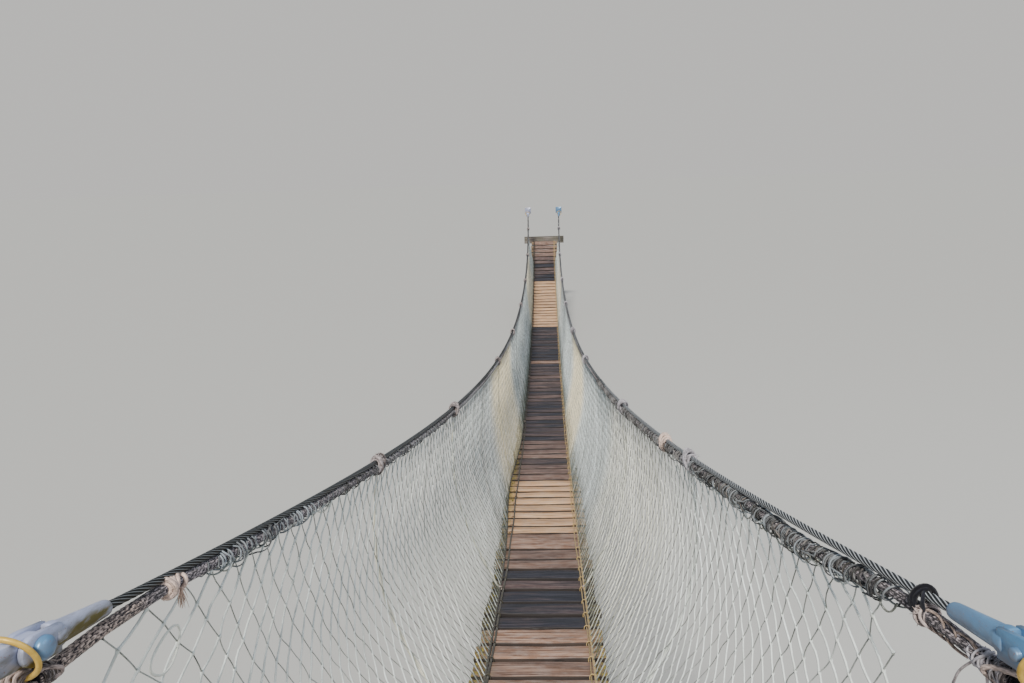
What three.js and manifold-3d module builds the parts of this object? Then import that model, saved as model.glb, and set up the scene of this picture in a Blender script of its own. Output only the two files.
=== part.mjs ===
// Rope suspension footbridge: a timber plank deck on two steel foot cables, walled by two
// diamond nets that hang from two steel hand cables.
// Millimetres. X runs across the bridge, Y along it from the near end, Z up.
// The origin is the middle of the near sill's back face, and the two ends lie level.
import * as THREE from 'three';
import { mergeVertices } from 'three/addons/utils/BufferGeometryUtils.js';
import Module from 'manifold-3d';

// Span and hang of the deck
const SPAN = 17400;
const SAG = 923;
const FAR_LIFT = 787;
const FAR_LIFT_LENGTH = 1760;
const DECK_TOP_AT_ENDS = 62;

// Half the distance between the hand cables, wide at the near end, and their height over the deck
const RAIL_HALF_MID = 275;
const RAIL_FLARE_NEAR = 537;
const RAIL_FLARE_NEAR_LENGTH = 3616;
const RAIL_FLARE_FAR = 80;
const RAIL_FLARE_FAR_LENGTH = 2200;
const RAIL_HEIGHT = 1051;
const RAIL_DROP_TO_FAR = 14;
const RAIL_NEAR_END_LEFT = 1020;
const RAIL_NEAR_END_RIGHT = 992;
const RAIL_FAR_END = 16350;

// Ropes and cables, as radii and numbers of sides
const CABLE_RADIUS = 8;
const HEAD_ROPE_RADIUS = 13;
const FOOT_ROPE_RADIUS = 7;
const HANGER_RADIUS = 5;
const ROUND_SIDES = 8;
const THIN_SIDES = 6;
const FOOT_CABLE_X = 220;
const TOUCH = 0.3;
const ROPE_TOUCH = 0.4;

// Planks: pitches of the sawn boards in order, with one board of double width
const PLANK_LENGTH = 600;
const PLANK_THICKNESS = 28;
const PLANK_GAP = 12;
const GAP_WEB = 6;
const PLANK_COUNT = 105;
const PLANK_PITCHES = [164, 154, 176, 155, 167, 180, 148, 158, 168, 179];
const FIRST_PITCH = 4;
const WIDE_PLANK = 26;
const WIDE_PITCH = 311;
const PLANKS_PER_BAY = 15;
const PLANKS_PER_STRAIGHT = 5;
const FINE_FROM_PLANK = 90;
const PLANKS_PER_FINE_STRAIGHT = 3;

// Sills and the stops of the foot cables in their pockets
const SILL_WIDTH = 900;
const SILL_DEPTH = 120;
const SILL_HEIGHT = 150;
const SILL_DECK_GAP = 20;
const POCKET_SIDE = 84;
const POCKET_DEPTH = 42;
const STOP_PLATE_SIDE = 64;
const STOP_PLATE_THICKNESS = 8;
const STOP_FERRULE_RADIUS = 17;
const STOP_FERRULE_LENGTH = 26;
const CABLE_HOLE_RADIUS = 9.2;

// Open sockets, pins and anchor eyes of the hand cables, measured from the pin's centre
const SOCKET_LENGTH = 165;
const SHANK_RADIUS = 19;
const SHANK_NOSE_RADIUS = 14.5;
const SOCKET_SHOULDER_RADIUS = 22;
const SOCKET_SHOULDER = 30;
const CHEEK_RADIUS = 24;
const CHEEK_TAIL = 12;
const CHEEK_THICKNESS = 10;
const THROAT_HALF = 9.3;
const PIN_RADIUS = 9.5;
const PIN_HEAD_RADIUS = 18;
const PIN_HOLE_RADIUS = 9.9;
const PIN_SEGMENTS = 12;
const EYE_BAR_HALF_HEIGHT = 21;
const EYE_BAR_HALF_THICKNESS = 9;
const ANCHOR_BACK_FROM_PIN = 175;
const BAR_END_FROM_BACK = 7;
const ANCHOR_PLATE_SIDE = 130;
const ANCHOR_PLATE_THICKNESS = 10;

// Rings that hold the ends of the head ropes: each is drawn tight and askew over the fork of a socket.
// Its centre is inward, along and up from the pin
const RING_RADIUS = 43.4;
const RING_BAR_RADIUS = 5.2;
const RING_SEGMENTS = 24;
const RING_CENTRE = [-11.4, -30, -7.6];
const RING_LEAN = (29.6 * Math.PI) / 180;
const RING_TURN = (9.3 * Math.PI) / 180;

// Nets: coarse diamond lattice bowed out between head rope and foot rope
const NET_BAR_WIDTH = 13;
const NET_BAR_THICKNESS = 7;
const NET_BORDER = 12;
const NET_HEIGHT = 1000;
const NET_BOW = 0.42;
const NET_LEAN = 850;
const NET_PANELS = 5;
const NET_NEAR_END = 1060;
const NET_FAR_END = 16420;
const PANEL_GAP = 1.2;

// Hangers: lashed round hand cable and head rope, down the net and tied to the foot rope
const HANGERS_AT = [2410, 3840, 6140, 8050, 10150, 12150, 14100, 15750];
const HANGER_OFF_NET = 12;
const HANGER_OFF_FOOT_ROPE = 9.2;
const HANGER_MARKS = [0.75, 0.5, 0.25, 0.05];
const LASHING_LENGTH = 44;
const LASHING_WALL = 9;
const LASHING_CLEARANCE = 0.6;
const LASHING_CHAMFER = 8;

// Head rope offset below the cable's axis where it passes the socket, by distance along the bridge
const HEAD_ROPE_NEAR = [[868, 52], [900, 51], [1010, 34], [1180, 0]];
const HEAD_ROPE_FAR = [[16190, 0], [16350, 34], [16465, 51], [16497, 52]];

const wasm = await Module();
wasm.setup();

// Closed triangle mesh to solid and back, with the vertices merged by place alone
function solidOf(geometry) {
  const bare = geometry.index ? geometry.toNonIndexed() : geometry.clone();
  bare.deleteAttribute('normal');
  bare.deleteAttribute('uv');
  const merged = mergeVertices(bare, 1e-3);
  return new wasm.Manifold(new wasm.Mesh({
    numProp: 3,
    vertProperties: new Float32Array(merged.attributes.position.array),
    triVerts: new Uint32Array(merged.index.array),
  }));
}

function geometryOf(solid) {
  const mesh = solid.getMesh();
  const geometry = new THREE.BufferGeometry();
  const positions = new Float32Array(mesh.numVert * 3);
  for (let i = 0; i < mesh.numVert; i += 1) {
    for (let axis = 0; axis < 3; axis += 1) {
      positions[3 * i + axis] = mesh.vertProperties[mesh.numProp * i + axis];
    }
  }
  geometry.setAttribute('position', new THREE.BufferAttribute(positions, 3));
  geometry.setIndex(Array.from(mesh.triVerts));
  geometry.computeVertexNormals();
  return geometry;
}

const galvanised = new THREE.MeshStandardMaterial({ color: 0x8d98a3, roughness: 0.45, metalness: 0.9 });
const yellowSteel = new THREE.MeshStandardMaterial({ color: 0xb08a3a, roughness: 0.5, metalness: 0.8 });
const darkRope = new THREE.MeshStandardMaterial({ color: 0x3c3842, roughness: 0.95, metalness: 0 });
const netCord = new THREE.MeshStandardMaterial({ color: 0xb9c9c4, roughness: 0.9, metalness: 0 });
const greyRope = new THREE.MeshStandardMaterial({ color: 0x8d8f8a, roughness: 0.95, metalness: 0 });
const weatheredWood = new THREE.MeshStandardMaterial({ color: 0x4e3b39, roughness: 0.9, metalness: 0 });

const bridge = new THREE.Group();

// A named piece whose geometry is moved so that its own origin lies at the given place
function addPiece(parent, name, geometry, material, origin = new THREE.Vector3()) {
  geometry.translate(-origin.x, -origin.y, -origin.z);
  const mesh = new THREE.Mesh(geometry, material);
  mesh.name = name;
  mesh.position.copy(origin);
  parent.add(mesh);
  return mesh;
}

// A path of straight lengths through given points, whose sections stand across the bisectors
class StraightLengths extends THREE.Curve {
  constructor(points) {
    super();
    this.points = points;
  }

  getPoint(t, target = new THREE.Vector3()) {
    const place = Math.min(Math.max(t, 0), 1) * (this.points.length - 1);
    const first = Math.min(Math.floor(place), this.points.length - 2);
    return target.lerpVectors(this.points[first], this.points[first + 1], place - first);
  }

  getPointAt(u, target) {
    return this.getPoint(u, target);
  }

  getTangentAt(u, target = new THREE.Vector3()) {
    const last = this.points.length - 1;
    const k = Math.round(u * last);
    const before = new THREE.Vector3();
    const after = new THREE.Vector3();
    if (k > 0) before.subVectors(this.points[k], this.points[k - 1]).normalize();
    if (k < last) after.subVectors(this.points[k + 1], this.points[k]).normalize();
    return target.addVectors(before, after).normalize();
  }

  getSpacedPoints() {
    return this.points.map((point) => point.clone());
  }
}

// A regular outline with flats facing sideways, and up and down where the sides allow it
function roundOutline(radius, sides) {
  const corners = [];
  for (let i = 0; i < sides; i += 1) {
    const angle = (2 * Math.PI * (i + 0.5)) / sides;
    corners.push(new THREE.Vector2(radius * Math.cos(angle), radius * Math.sin(angle)));
  }
  return new THREE.Shape(corners);
}

function rope(points, radius, sides) {
  const path = new StraightLengths(points);
  return new THREE.ExtrudeGeometry(roundOutline(radius, sides), {
    steps: points.length - 1,
    extrudePath: path,
    bevelEnabled: false,
  });
}

const flatDistance = (radius, sides) => radius * Math.cos(Math.PI / sides);

// The deck's top line, and the same line measured along its length
function deckTop(y) {
  const t = y / SPAN;
  const hang = -4 * SAG * t * (1 - t);
  const lift = FAR_LIFT * (Math.exp(-(SPAN - y) / FAR_LIFT_LENGTH) - t);
  return DECK_TOP_AT_ENDS + hang + lift;
}

// Its slope, and how far the net's foot stands nearer than its head where the deck falls away
function deckSlope(y) {
  const hang = (-4 * SAG * (1 - (2 * y) / SPAN)) / SPAN;
  return hang + FAR_LIFT * (Math.exp(-(SPAN - y) / FAR_LIFT_LENGTH) / FAR_LIFT_LENGTH - 1 / SPAN);
}
const netLean = (y) => Math.min(0, deckSlope(y)) * NET_LEAN;

function beforeLean(footY) {
  let y = footY;
  for (let i = 0; i < 12; i += 1) y = footY - netLean(y);
  return y;
}

const railHalf = (y) => RAIL_HALF_MID
  + RAIL_FLARE_NEAR * Math.exp(-y / RAIL_FLARE_NEAR_LENGTH)
  + RAIL_FLARE_FAR * Math.exp(-(SPAN - y) / RAIL_FLARE_FAR_LENGTH);

const DECK_START = SILL_DEPTH + SILL_DECK_GAP - PLANK_GAP / 2;
const LENGTH_STEP = 2;
const lengthTable = [{ y: DECK_START, length: 0 }];
for (let y = DECK_START; y < SPAN - DECK_START; y += LENGTH_STEP) {
  const next = Math.min(y + LENGTH_STEP, SPAN - DECK_START);
  const { length } = lengthTable[lengthTable.length - 1];
  lengthTable.push({ y: next, length: length + Math.hypot(next - y, deckTop(next) - deckTop(y)) });
}
const deckLength = lengthTable[lengthTable.length - 1].length;

function yAtLength(length) {
  const k = lengthTable.findIndex((row) => row.length >= length);
  if (k < 0) return SPAN - DECK_START;
  if (k === 0) return DECK_START;
  const [a, b] = [lengthTable[k - 1], lengthTable[k]];
  return a.y + ((length - a.length) / (b.length - a.length)) * (b.y - a.y);
}

// Where each board begins, as a length along the deck, scaled so that the last ends at the far sill
const boardStarts = [0];
for (let i = 0; i < PLANK_COUNT; i += 1) {
  const cycle = PLANK_PITCHES[(i + FIRST_PITCH) % PLANK_PITCHES.length];
  boardStarts.push(boardStarts[i] + (i === WIDE_PLANK ? WIDE_PITCH : cycle));
}
const pitchScale = deckLength / boardStarts[PLANK_COUNT];

// Straight lengths of the deck: five boards each, and three near the steep far end
const breaks = [];
for (let i = 0; i < FINE_FROM_PLANK; i += PLANKS_PER_STRAIGHT) breaks.push(i);
for (let i = FINE_FROM_PLANK; i <= PLANK_COUNT; i += PLANKS_PER_FINE_STRAIGHT) breaks.push(i);
const deckStations = breaks.map((i) => yAtLength(boardStarts[i] * pitchScale));

// A point in the middle plane, at a distance below the deck's top line across the bisector
function belowDeck(k, distance) {
  const at = (j) => new THREE.Vector2(deckStations[j], deckTop(deckStations[j]));
  const along = new THREE.Vector2();
  if (k > 0) along.add(at(k).sub(at(k - 1)).normalize());
  if (k < deckStations.length - 1) along.add(at(k + 1).sub(at(k)).normalize());
  along.normalize();
  return at(k).add(new THREE.Vector2(along.y, -along.x).multiplyScalar(distance));
}
const plankFeet = breaks.map((_, k) => belowDeck(k, PLANK_THICKNESS));
const footCableDrop = PLANK_THICKNESS + TOUCH + flatDistance(CABLE_RADIUS, ROUND_SIDES);
const footCableLine = breaks.map((_, k) => belowDeck(k, footCableDrop));

// Deck bays: boards side by side, their gaps closed only by a thin web at the underside
function deckBay(firstPlank, lastPlank) {
  const feet = [];
  const tops = [];
  for (let k = 0; k < breaks.length - 1; k += 1) {
    if (breaks[k] >= firstPlank && breaks[k + 1] <= lastPlank + 1) {
      const [a, b] = [plankFeet[k], plankFeet[k + 1]];
      const along = b.clone().sub(a).normalize();
      const up = new THREE.Vector2(-along.y, along.x);
      const stretch = a.distanceTo(b) / (boardStarts[breaks[k + 1]] - boardStarts[breaks[k]]);
      const at = (distance, height) => a.clone().addScaledVector(along, distance).addScaledVector(up, height);
      const half = PLANK_GAP / 2;
      for (let i = breaks[k]; i < breaks[k + 1]; i += 1) {
        const start = (boardStarts[i] - boardStarts[breaks[k]]) * stretch + half;
        const end = (boardStarts[i + 1] - boardStarts[breaks[k]]) * stretch - half;
        const web = [at(start, GAP_WEB), at(end, GAP_WEB)];
        if (i === firstPlank) web.shift();
        if (i === lastPlank) web.pop();
        const board = [at(start, PLANK_THICKNESS), at(end, PLANK_THICKNESS)];
        tops.push(...(i === firstPlank ? [] : [web[0]]), ...board, ...(i === lastPlank ? [] : [web[web.length - 1]]));
        if (i === firstPlank) feet.push(at(start, 0));
        if (i === lastPlank) feet.push(at(end, 0));
      }
      if (breaks[k + 1] <= lastPlank) feet.push(b.clone());
    }
  }
  const outline = new THREE.Shape([...feet, ...tops.reverse()]);
  return new THREE.ExtrudeGeometry(outline, { depth: PLANK_LENGTH, steps: 1, bevelEnabled: false });
}

// Turns an outline drawn in (Y, Z) and extruded along its third axis into one extruded along X
const acrossBridge = new THREE.Matrix4().makeBasis(
  new THREE.Vector3(0, 1, 0),
  new THREE.Vector3(0, 0, 1),
  new THREE.Vector3(1, 0, 0),
);

const deck = new THREE.Group();
bridge.add(deck);
for (let bay = 0; bay * PLANKS_PER_BAY < PLANK_COUNT; bay += 1) {
  const first = bay * PLANKS_PER_BAY;
  const geometry = deckBay(first, first + PLANKS_PER_BAY - 1).applyMatrix4(acrossBridge);
  geometry.translate(-PLANK_LENGTH / 2, 0, 0);
  const start = plankFeet[breaks.indexOf(first)];
  addPiece(deck, `deck_bay_${bay + 1}`, geometry, weatheredWood, new THREE.Vector3(0, start.x, start.y));
}

// Foot cables: straight lengths under the boards, on through the sills to the stops
const nearAlong = footCableLine[1].clone().sub(footCableLine[0]).normalize();
const lastFoot = footCableLine.length - 1;
const farAlong = footCableLine[lastFoot].clone().sub(footCableLine[lastFoot - 1]).normalize();

function footCableAt(end, y) {
  const along = end === 'near' ? nearAlong : farAlong;
  const base = end === 'near' ? footCableLine[0] : footCableLine[lastFoot];
  return base.clone().addScaledVector(along, (y - base.x) / along.x);
}
const stopPlaneNear = POCKET_DEPTH - TOUCH;
const stopPlaneFar = SPAN - stopPlaneNear;

function box(width, depth, height, centre) {
  return new THREE.BoxGeometry(width, depth, height).translate(centre.x, centre.y, centre.z);
}

function footCable(x) {
  const ends = [footCableAt('near', POCKET_DEPTH / 2), footCableAt('far', SPAN - POCKET_DEPTH / 2)];
  const line = [ends[0], ...footCableLine.slice(1, lastFoot), ends[1]];
  const whole = solidOf(rope(line.map((p) => new THREE.Vector3(x, p.x, p.y)), CABLE_RADIUS, ROUND_SIDES));
  const trim = (y) => solidOf(box(60, POCKET_DEPTH, 200, new THREE.Vector3(x, y, 0)));
  const nearTrim = trim(stopPlaneNear + TOUCH - POCKET_DEPTH / 2);
  const farTrim = trim(stopPlaneFar - TOUCH + POCKET_DEPTH / 2);
  return geometryOf(whole.subtract(nearTrim).subtract(farTrim));
}

// A round bar between two points
function bar(from, to, radius, sides) {
  return rope([from, to], radius, sides);
}

function sill(end) {
  const backY = end === 'near' ? 0 : SPAN;
  const inward = end === 'near' ? 1 : -1;
  let solid = solidOf(box(SILL_WIDTH, SILL_DEPTH, SILL_HEIGHT, new THREE.Vector3(0, backY + inward * (SILL_DEPTH / 2), 0)));
  for (const side of [-1, 1]) {
    const x = side * FOOT_CABLE_X;
    const outside = footCableAt(end, backY - inward * 20);
    const inside = footCableAt(end, backY + inward * (SILL_DEPTH + 20));
    const hole = bar(
      new THREE.Vector3(x, outside.x, outside.y),
      new THREE.Vector3(x, inside.x, inside.y),
      CABLE_HOLE_RADIUS,
      PIN_SEGMENTS,
    );
    const pocketZ = footCableAt(end, backY + (inward * POCKET_DEPTH) / 2).y;
    const pocket = box(POCKET_SIDE, 2 * POCKET_DEPTH, POCKET_SIDE, new THREE.Vector3(x, backY, pocketZ));
    solid = solid.subtract(solidOf(hole)).subtract(solidOf(pocket));
  }
  return geometryOf(solid);
}

// Stop on a foot cable's end: a square bearing plate in the pocket with a swaged ferrule behind it
function cableStop(end, x) {
  const inward = end === 'near' ? 1 : -1;
  const face = end === 'near' ? stopPlaneNear : stopPlaneFar;
  const middle = face - (inward * STOP_PLATE_THICKNESS) / 2;
  const at = (y) => new THREE.Vector3(x, y, footCableAt(end, y).y);
  const plate = box(STOP_PLATE_SIDE, STOP_PLATE_THICKNESS, STOP_PLATE_SIDE, at(middle));
  const ferruleEnd = at(middle - inward * STOP_FERRULE_LENGTH);
  const ferrule = solidOf(bar(at(middle + inward * 14), ferruleEnd, STOP_FERRULE_RADIUS, ROUND_SIDES));
  const beyond = solidOf(box(80, 60, 120, at(middle + inward * 30)));
  return { geometry: geometryOf(ferrule.subtract(beyond).add(solidOf(plate))), origin: at(middle) };
}

const sideName = (side) => (side < 0 ? 'left' : 'right');

for (const end of ['near', 'far']) {
  const backY = end === 'near' ? 0 : SPAN;
  addPiece(bridge, `${end}_sill`, sill(end), weatheredWood, new THREE.Vector3(0, backY, 0));
  for (const side of [-1, 1]) {
    const stop = cableStop(end, side * FOOT_CABLE_X);
    addPiece(bridge, `foot_cable_stop_${end}_${sideName(side)}`, stop.geometry, galvanised, stop.origin);
  }
}
for (const side of [-1, 1]) {
  addPiece(bridge, `foot_cable_${sideName(side)}`, footCable(side * FOOT_CABLE_X), galvanised);
}

// Hand cables, as straight lengths between the same stations
function railStations(side) {
  const nearEnd = side < 0 ? RAIL_NEAR_END_LEFT : RAIL_NEAR_END_RIGHT;
  const between = deckStations.filter((y) => y > RAIL_NEAR_END_LEFT + 150 && y < RAIL_FAR_END - 150);
  return [nearEnd, ...between, RAIL_FAR_END];
}

function railLine(side) {
  return railStations(side).map((y) => {
    const height = RAIL_HEIGHT - (RAIL_DROP_TO_FAR * y) / SPAN;
    return new THREE.Vector3(side * railHalf(y), y, deckTop(y) + height);
  });
}

// A point on a line of straight lengths at a given y, carried on straight past both ends
function onLine(line, y) {
  let k = line.findIndex((point) => point.y > y) - 1;
  if (k < 0) k = y <= line[0].y ? 0 : line.length - 2;
  const [a, b] = [line[k], line[k + 1]];
  return new THREE.Vector3().lerpVectors(a, b, (y - a.y) / (b.y - a.y));
}

function directionOnLine(line, y) {
  return onLine(line, y + 1).sub(onLine(line, y - 1)).normalize();
}

// Across the cable in the upright plane
function upAcross(direction) {
  const up = new THREE.Vector3(0, 0, 1);
  return up.addScaledVector(direction, -direction.z).normalize();
}

const headRopeDrop = flatDistance(CABLE_RADIUS, ROUND_SIDES) + flatDistance(HEAD_ROPE_RADIUS, ROUND_SIDES) + ROPE_TOUCH;

function headRopeLine(rail) {
  const ends = [...HEAD_ROPE_NEAR, ...HEAD_ROPE_FAR];
  const nearLimit = HEAD_ROPE_NEAR[HEAD_ROPE_NEAR.length - 1][0];
  const farLimit = HEAD_ROPE_FAR[0][0];
  const between = deckStations.filter((y) => y > nearLimit + 60 && y < farLimit - 60).map((y) => [y, 0]);
  const rows = [...ends, ...between].sort((a, b) => a[0] - b[0]);
  return rows.map(([y, drop]) => {
    const up = upAcross(directionOnLine(rail, y));
    return onLine(rail, y).addScaledVector(up, -Math.max(drop, headRopeDrop));
  });
}

// Foot ropes of the nets, lying on the boards beside the foot cables' ties. The left one drifts
// out to the board ends for a stretch
const FOOT_ROPE_X = 234;
const FOOT_ROPE_DRIFT = 52;
const FOOT_ROPE_DRIFT_AT = 5750;
const FOOT_ROPE_DRIFT_LENGTH = 1000;

function footRopeLine(side) {
  return breaks.map((_, k) => {
    const place = belowDeck(k, -(FOOT_ROPE_RADIUS + TOUCH));
    const away = (place.x - FOOT_ROPE_DRIFT_AT) / FOOT_ROPE_DRIFT_LENGTH;
    const drift = side < 0 ? FOOT_ROPE_DRIFT * Math.exp(-away * away) : 0;
    return new THREE.Vector3(side * (FOOT_ROPE_X + drift), place.x, place.y);
  });
}

// The net's middle surface: across from foot rope (v = 0) to head rope (v = 1), bowed outwards
function netSurface(side, head, foot) {
  return (y, v) => {
    const top = onLine(head, y);
    const bottom = onLine(foot, y + netLean(y));
    const down = bottom.clone().sub(top);
    const reach = down.length();
    down.normalize();
    const along = directionOnLine(head, y);
    const underHead = (HEAD_ROPE_RADIUS + ROPE_TOUCH) / along.y;
    const overFoot = (FOOT_ROPE_RADIUS + ROPE_TOUCH) / directionOnLine(foot, bottom.y).y;
    const fromTop = underHead + (1 - v) * (reach - underHead - overFoot);
    const bow = NET_BOW * Math.abs(top.x - bottom.x) * Math.sin(Math.PI * v);
    const point = top.addScaledVector(down, fromTop);
    point.x += side * bow;
    const outward = new THREE.Vector3().crossVectors(down, along).normalize();
    if (outward.x * side < 0) outward.negate();
    return { point, outward };
  };
}

// Inset of a diamond's half widths by half a bar on every side
function insetDiamond(halfWidth, halfHeight) {
  const edge = Math.hypot(halfWidth, halfHeight) * (NET_BAR_WIDTH / 2);
  return [halfWidth - edge / halfHeight, halfHeight - edge / halfWidth];
}

function hole(corners) {
  return new THREE.Path(corners.map(([x, y]) => new THREE.Vector2(x, y)));
}

// Turns the shared edge of two flat triangles wherever that leaves rounder ones, so that no sliver
// runs the whole length of a bar once the flat drawing is bent
function turnLongEdges(positions, count) {
  const corners = [];
  const triangles = [];
  const known = new Map();
  for (let i = 0; i < count; i += 1) {
    const place = [positions.getX(i), positions.getY(i), positions.getZ(i)];
    const key = place.join(' ');
    if (!known.has(key)) {
      known.set(key, corners.length);
      corners.push(place);
    }
    if (i % 3 === 0) triangles.push([]);
    triangles[triangles.length - 1].push(known.get(key));
  }
  const turn = (a, b, c) => {
    const [p, q, r] = [corners[a], corners[b], corners[c]];
    return (q[0] - p[0]) * (r[1] - p[1]) - (q[1] - p[1]) * (r[0] - p[0]);
  };
  const angle = (a, b, c) => {
    const [p, q, r] = [corners[a], corners[b], corners[c]];
    const along = (q[0] - p[0]) * (r[0] - p[0]) + (q[1] - p[1]) * (r[1] - p[1]);
    return Math.atan2(Math.abs(turn(a, b, c)), along);
  };
  for (let round = 0, turned = true; turned && round < 200; round += 1) {
    turned = false;
    const edges = new Map();
    triangles.forEach((triangle, t) => triangle.forEach((a, k) => edges.set(`${a} ${triangle[(k + 1) % 3]}`, [t, k])));
    const changed = new Set();
    for (const [edge, [t, k]] of edges) {
      const [a, b] = edge.split(' ').map(Number);
      const other = edges.get(`${b} ${a}`);
      if (!other || changed.has(t) || changed.has(other[0])) continue;
      const c = triangles[t][(k + 2) % 3];
      const d = triangles[other[0]][(other[1] + 2) % 3];
      const sign = Math.sign(turn(a, b, c)) || Math.sign(turn(b, a, d));
      const proper = turn(c, a, d) * sign > 1e-3 && turn(d, b, c) * sign > 1e-3;
      if (proper && angle(c, a, b) + angle(d, a, b) > Math.PI + 1e-6) {
        triangles[t] = [c, a, d];
        triangles[other[0]] = [d, b, c];
        changed.add(t).add(other[0]);
        turned = true;
      }
    }
  }
  triangles.flat().forEach((corner, i) => positions.setXYZ(i, ...corners[corner]));
}

// A net panel: crossing bars in a frame, drawn in the side view as an outline with openings,
// extruded through its thickness and then laid on the surface corner by corner
function netPanel(side, surface, head, foot, from, to) {
  const inner = deckStations.filter((y) => y > from + 100 && y < to - 100);
  const marks = [from, ...inner, to];
  const columns = [];
  for (let k = 0; k < marks.length - 1; k += 1) {
    const wide = marks[k + 1] - marks[k];
    const count = wide > 600 ? 2 : 1;
    for (let i = 0; i < count; i += 1) columns.push(marks[k] + (wide * i) / count);
  }
  columns.push(to);
  const corners = [];
  const corner = (y, height) => {
    const { point } = surface(y, height / NET_HEIGHT);
    corners.push({ y, v: height / NET_HEIGHT, flat: new THREE.Vector2(point.y, point.z) });
    return corners[corners.length - 1].flat;
  };
  const opening = (places) => new THREE.Path(places.map(([y, height]) => corner(y, height)));
  const inside = (y) => y > from + 20 && y < to - 20;
  const outline = new THREE.Shape([
    corner(from, 0),
    ...foot.filter(inside).map((y) => corner(y, 0)),
    corner(to, 0),
    corner(to, NET_HEIGHT),
    ...head.filter(inside).reverse().map((y) => corner(y, NET_HEIGHT)),
    corner(from, NET_HEIGHT),
  ]);
  const half = NET_HEIGHT / 2;
  for (let i = 0; i < columns.length - 1; i += 1) {
    const [a, b] = [columns[i], columns[i + 1]];
    const middle = (a + b) / 2;
    const [wide, tall] = insetDiamond((b - a) / 2, half);
    const cut = wide * (1 - (NET_BORDER - (half - tall)) / tall);
    for (const sign of [-1, 1]) {
      outline.holes.push(opening([
        [middle, half + sign * (half - tall)],
        [middle + sign * cut, half + sign * (half - NET_BORDER)],
        [middle - sign * cut, half + sign * (half - NET_BORDER)],
      ]));
    }
  }
  for (let i = 0; i < columns.length; i += 1) {
    const before = i > 0 ? insetDiamond((columns[i] - columns[i - 1]) / 2, half) : null;
    const after = i < columns.length - 1 ? insetDiamond((columns[i + 1] - columns[i]) / 2, half) : null;
    if (before && after) {
      const tall = Math.min(before[1], after[1]);
      outline.holes.push(opening([
        [columns[i] - before[0], half],
        [columns[i], half - tall],
        [columns[i] + after[0], half],
        [columns[i], half + tall],
      ]));
    } else {
      const [wide, tall] = before || after;
      const sign = before ? -1 : 1;
      const short = tall * (1 - NET_BORDER / wide);
      outline.holes.push(opening([
        [columns[i] + sign * NET_BORDER, half - short],
        [columns[i] + sign * wide, half],
        [columns[i] + sign * NET_BORDER, half + short],
      ]));
    }
  }
  const flat = new THREE.ExtrudeGeometry(outline, { depth: NET_BAR_THICKNESS, steps: 1, bevelEnabled: false });
  const positions = flat.attributes.position;
  turnLongEdges(positions, flat.groups[0].count);
  const place = new THREE.Vector2();
  for (let i = 0; i < positions.count; i += 1) {
    place.set(positions.getX(i), positions.getY(i));
    const found = corners.find(({ flat: drawn }) => drawn.distanceTo(place) < 0.02);
    const { point, outward } = surface(found.y, found.v);
    point.addScaledVector(outward, side * (positions.getZ(i) - NET_BAR_THICKNESS / 2));
    positions.setXYZ(i, point.x, point.y, point.z);
  }
  return flat;
}

// Points along a hanger, from its lashing down outside the net to the foot rope
function hangerLine(side, surface, rail, foot, y) {
  const direction = directionOnLine(rail, y);
  const up = upAcross(direction);
  const outward = new THREE.Vector3().crossVectors(direction, up);
  if (outward.x * side < 0) outward.negate();
  const wallDrop = headRopeDrop + flatDistance(HEAD_ROPE_RADIUS, ROUND_SIDES) + LASHING_CLEARANCE + LASHING_WALL / 2 + 2;
  const top = onLine(rail, y).addScaledVector(up, -wallDrop).addScaledVector(outward, HANGER_OFF_NET);
  const beside = (v, off) => {
    const { point, outward: across } = surface(y, v);
    return point.addScaledVector(across, off);
  };
  const onNet = HANGER_MARKS.map((v) => beside(v, HANGER_OFF_NET));
  const footY = y + netLean(y);
  const footPoint = onLine(foot, footY);
  const bottomX = footPoint.x + side * HANGER_OFF_FOOT_ROPE;
  return [
    top,
    ...onNet,
    beside(0, HANGER_OFF_NET - 1).setY(footY),
    new THREE.Vector3(bottomX, footY, footPoint.z),
  ];
}

// The lashing: a chamfered collar wound round hand cable and head rope together
function lashing(rail, y, grow = 0) {
  const direction = directionOnLine(rail, y);
  const up = upAcross(direction);
  const across = new THREE.Vector3().crossVectors(direction, up);
  const reach = HEAD_ROPE_RADIUS + LASHING_CLEARANCE;
  const top = flatDistance(CABLE_RADIUS, ROUND_SIDES) + LASHING_CLEARANCE;
  const bottom = headRopeDrop + flatDistance(HEAD_ROPE_RADIUS, ROUND_SIDES) + LASHING_CLEARANCE;
  const frame = (x, high, low, chamfer) => [
    [x, -low + chamfer], [x, high - chamfer], [x - chamfer, high], [-x + chamfer, high],
    [-x, high - chamfer], [-x, -low + chamfer], [-x + chamfer, -low], [x - chamfer, -low],
  ];
  const wall = LASHING_WALL + grow;
  const outer = frame(reach + wall, top + wall, bottom + wall, LASHING_CHAMFER);
  const outline = new THREE.Shape(outer.map(([x, z]) => new THREE.Vector2(x, z)));
  if (grow === 0) outline.holes.push(hole(frame(reach, top, bottom, LASHING_CHAMFER / 2)));
  const depth = LASHING_LENGTH + 2 * grow;
  const ring = new THREE.ExtrudeGeometry(outline, { depth, steps: 1, bevelEnabled: false });
  ring.translate(0, 0, -depth / 2);
  const turn = new THREE.Matrix4().makeBasis(across, up, across.clone().cross(up));
  ring.applyMatrix4(turn);
  const place = onLine(rail, y);
  ring.translate(place.x, place.y, place.z);
  return ring;
}

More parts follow.
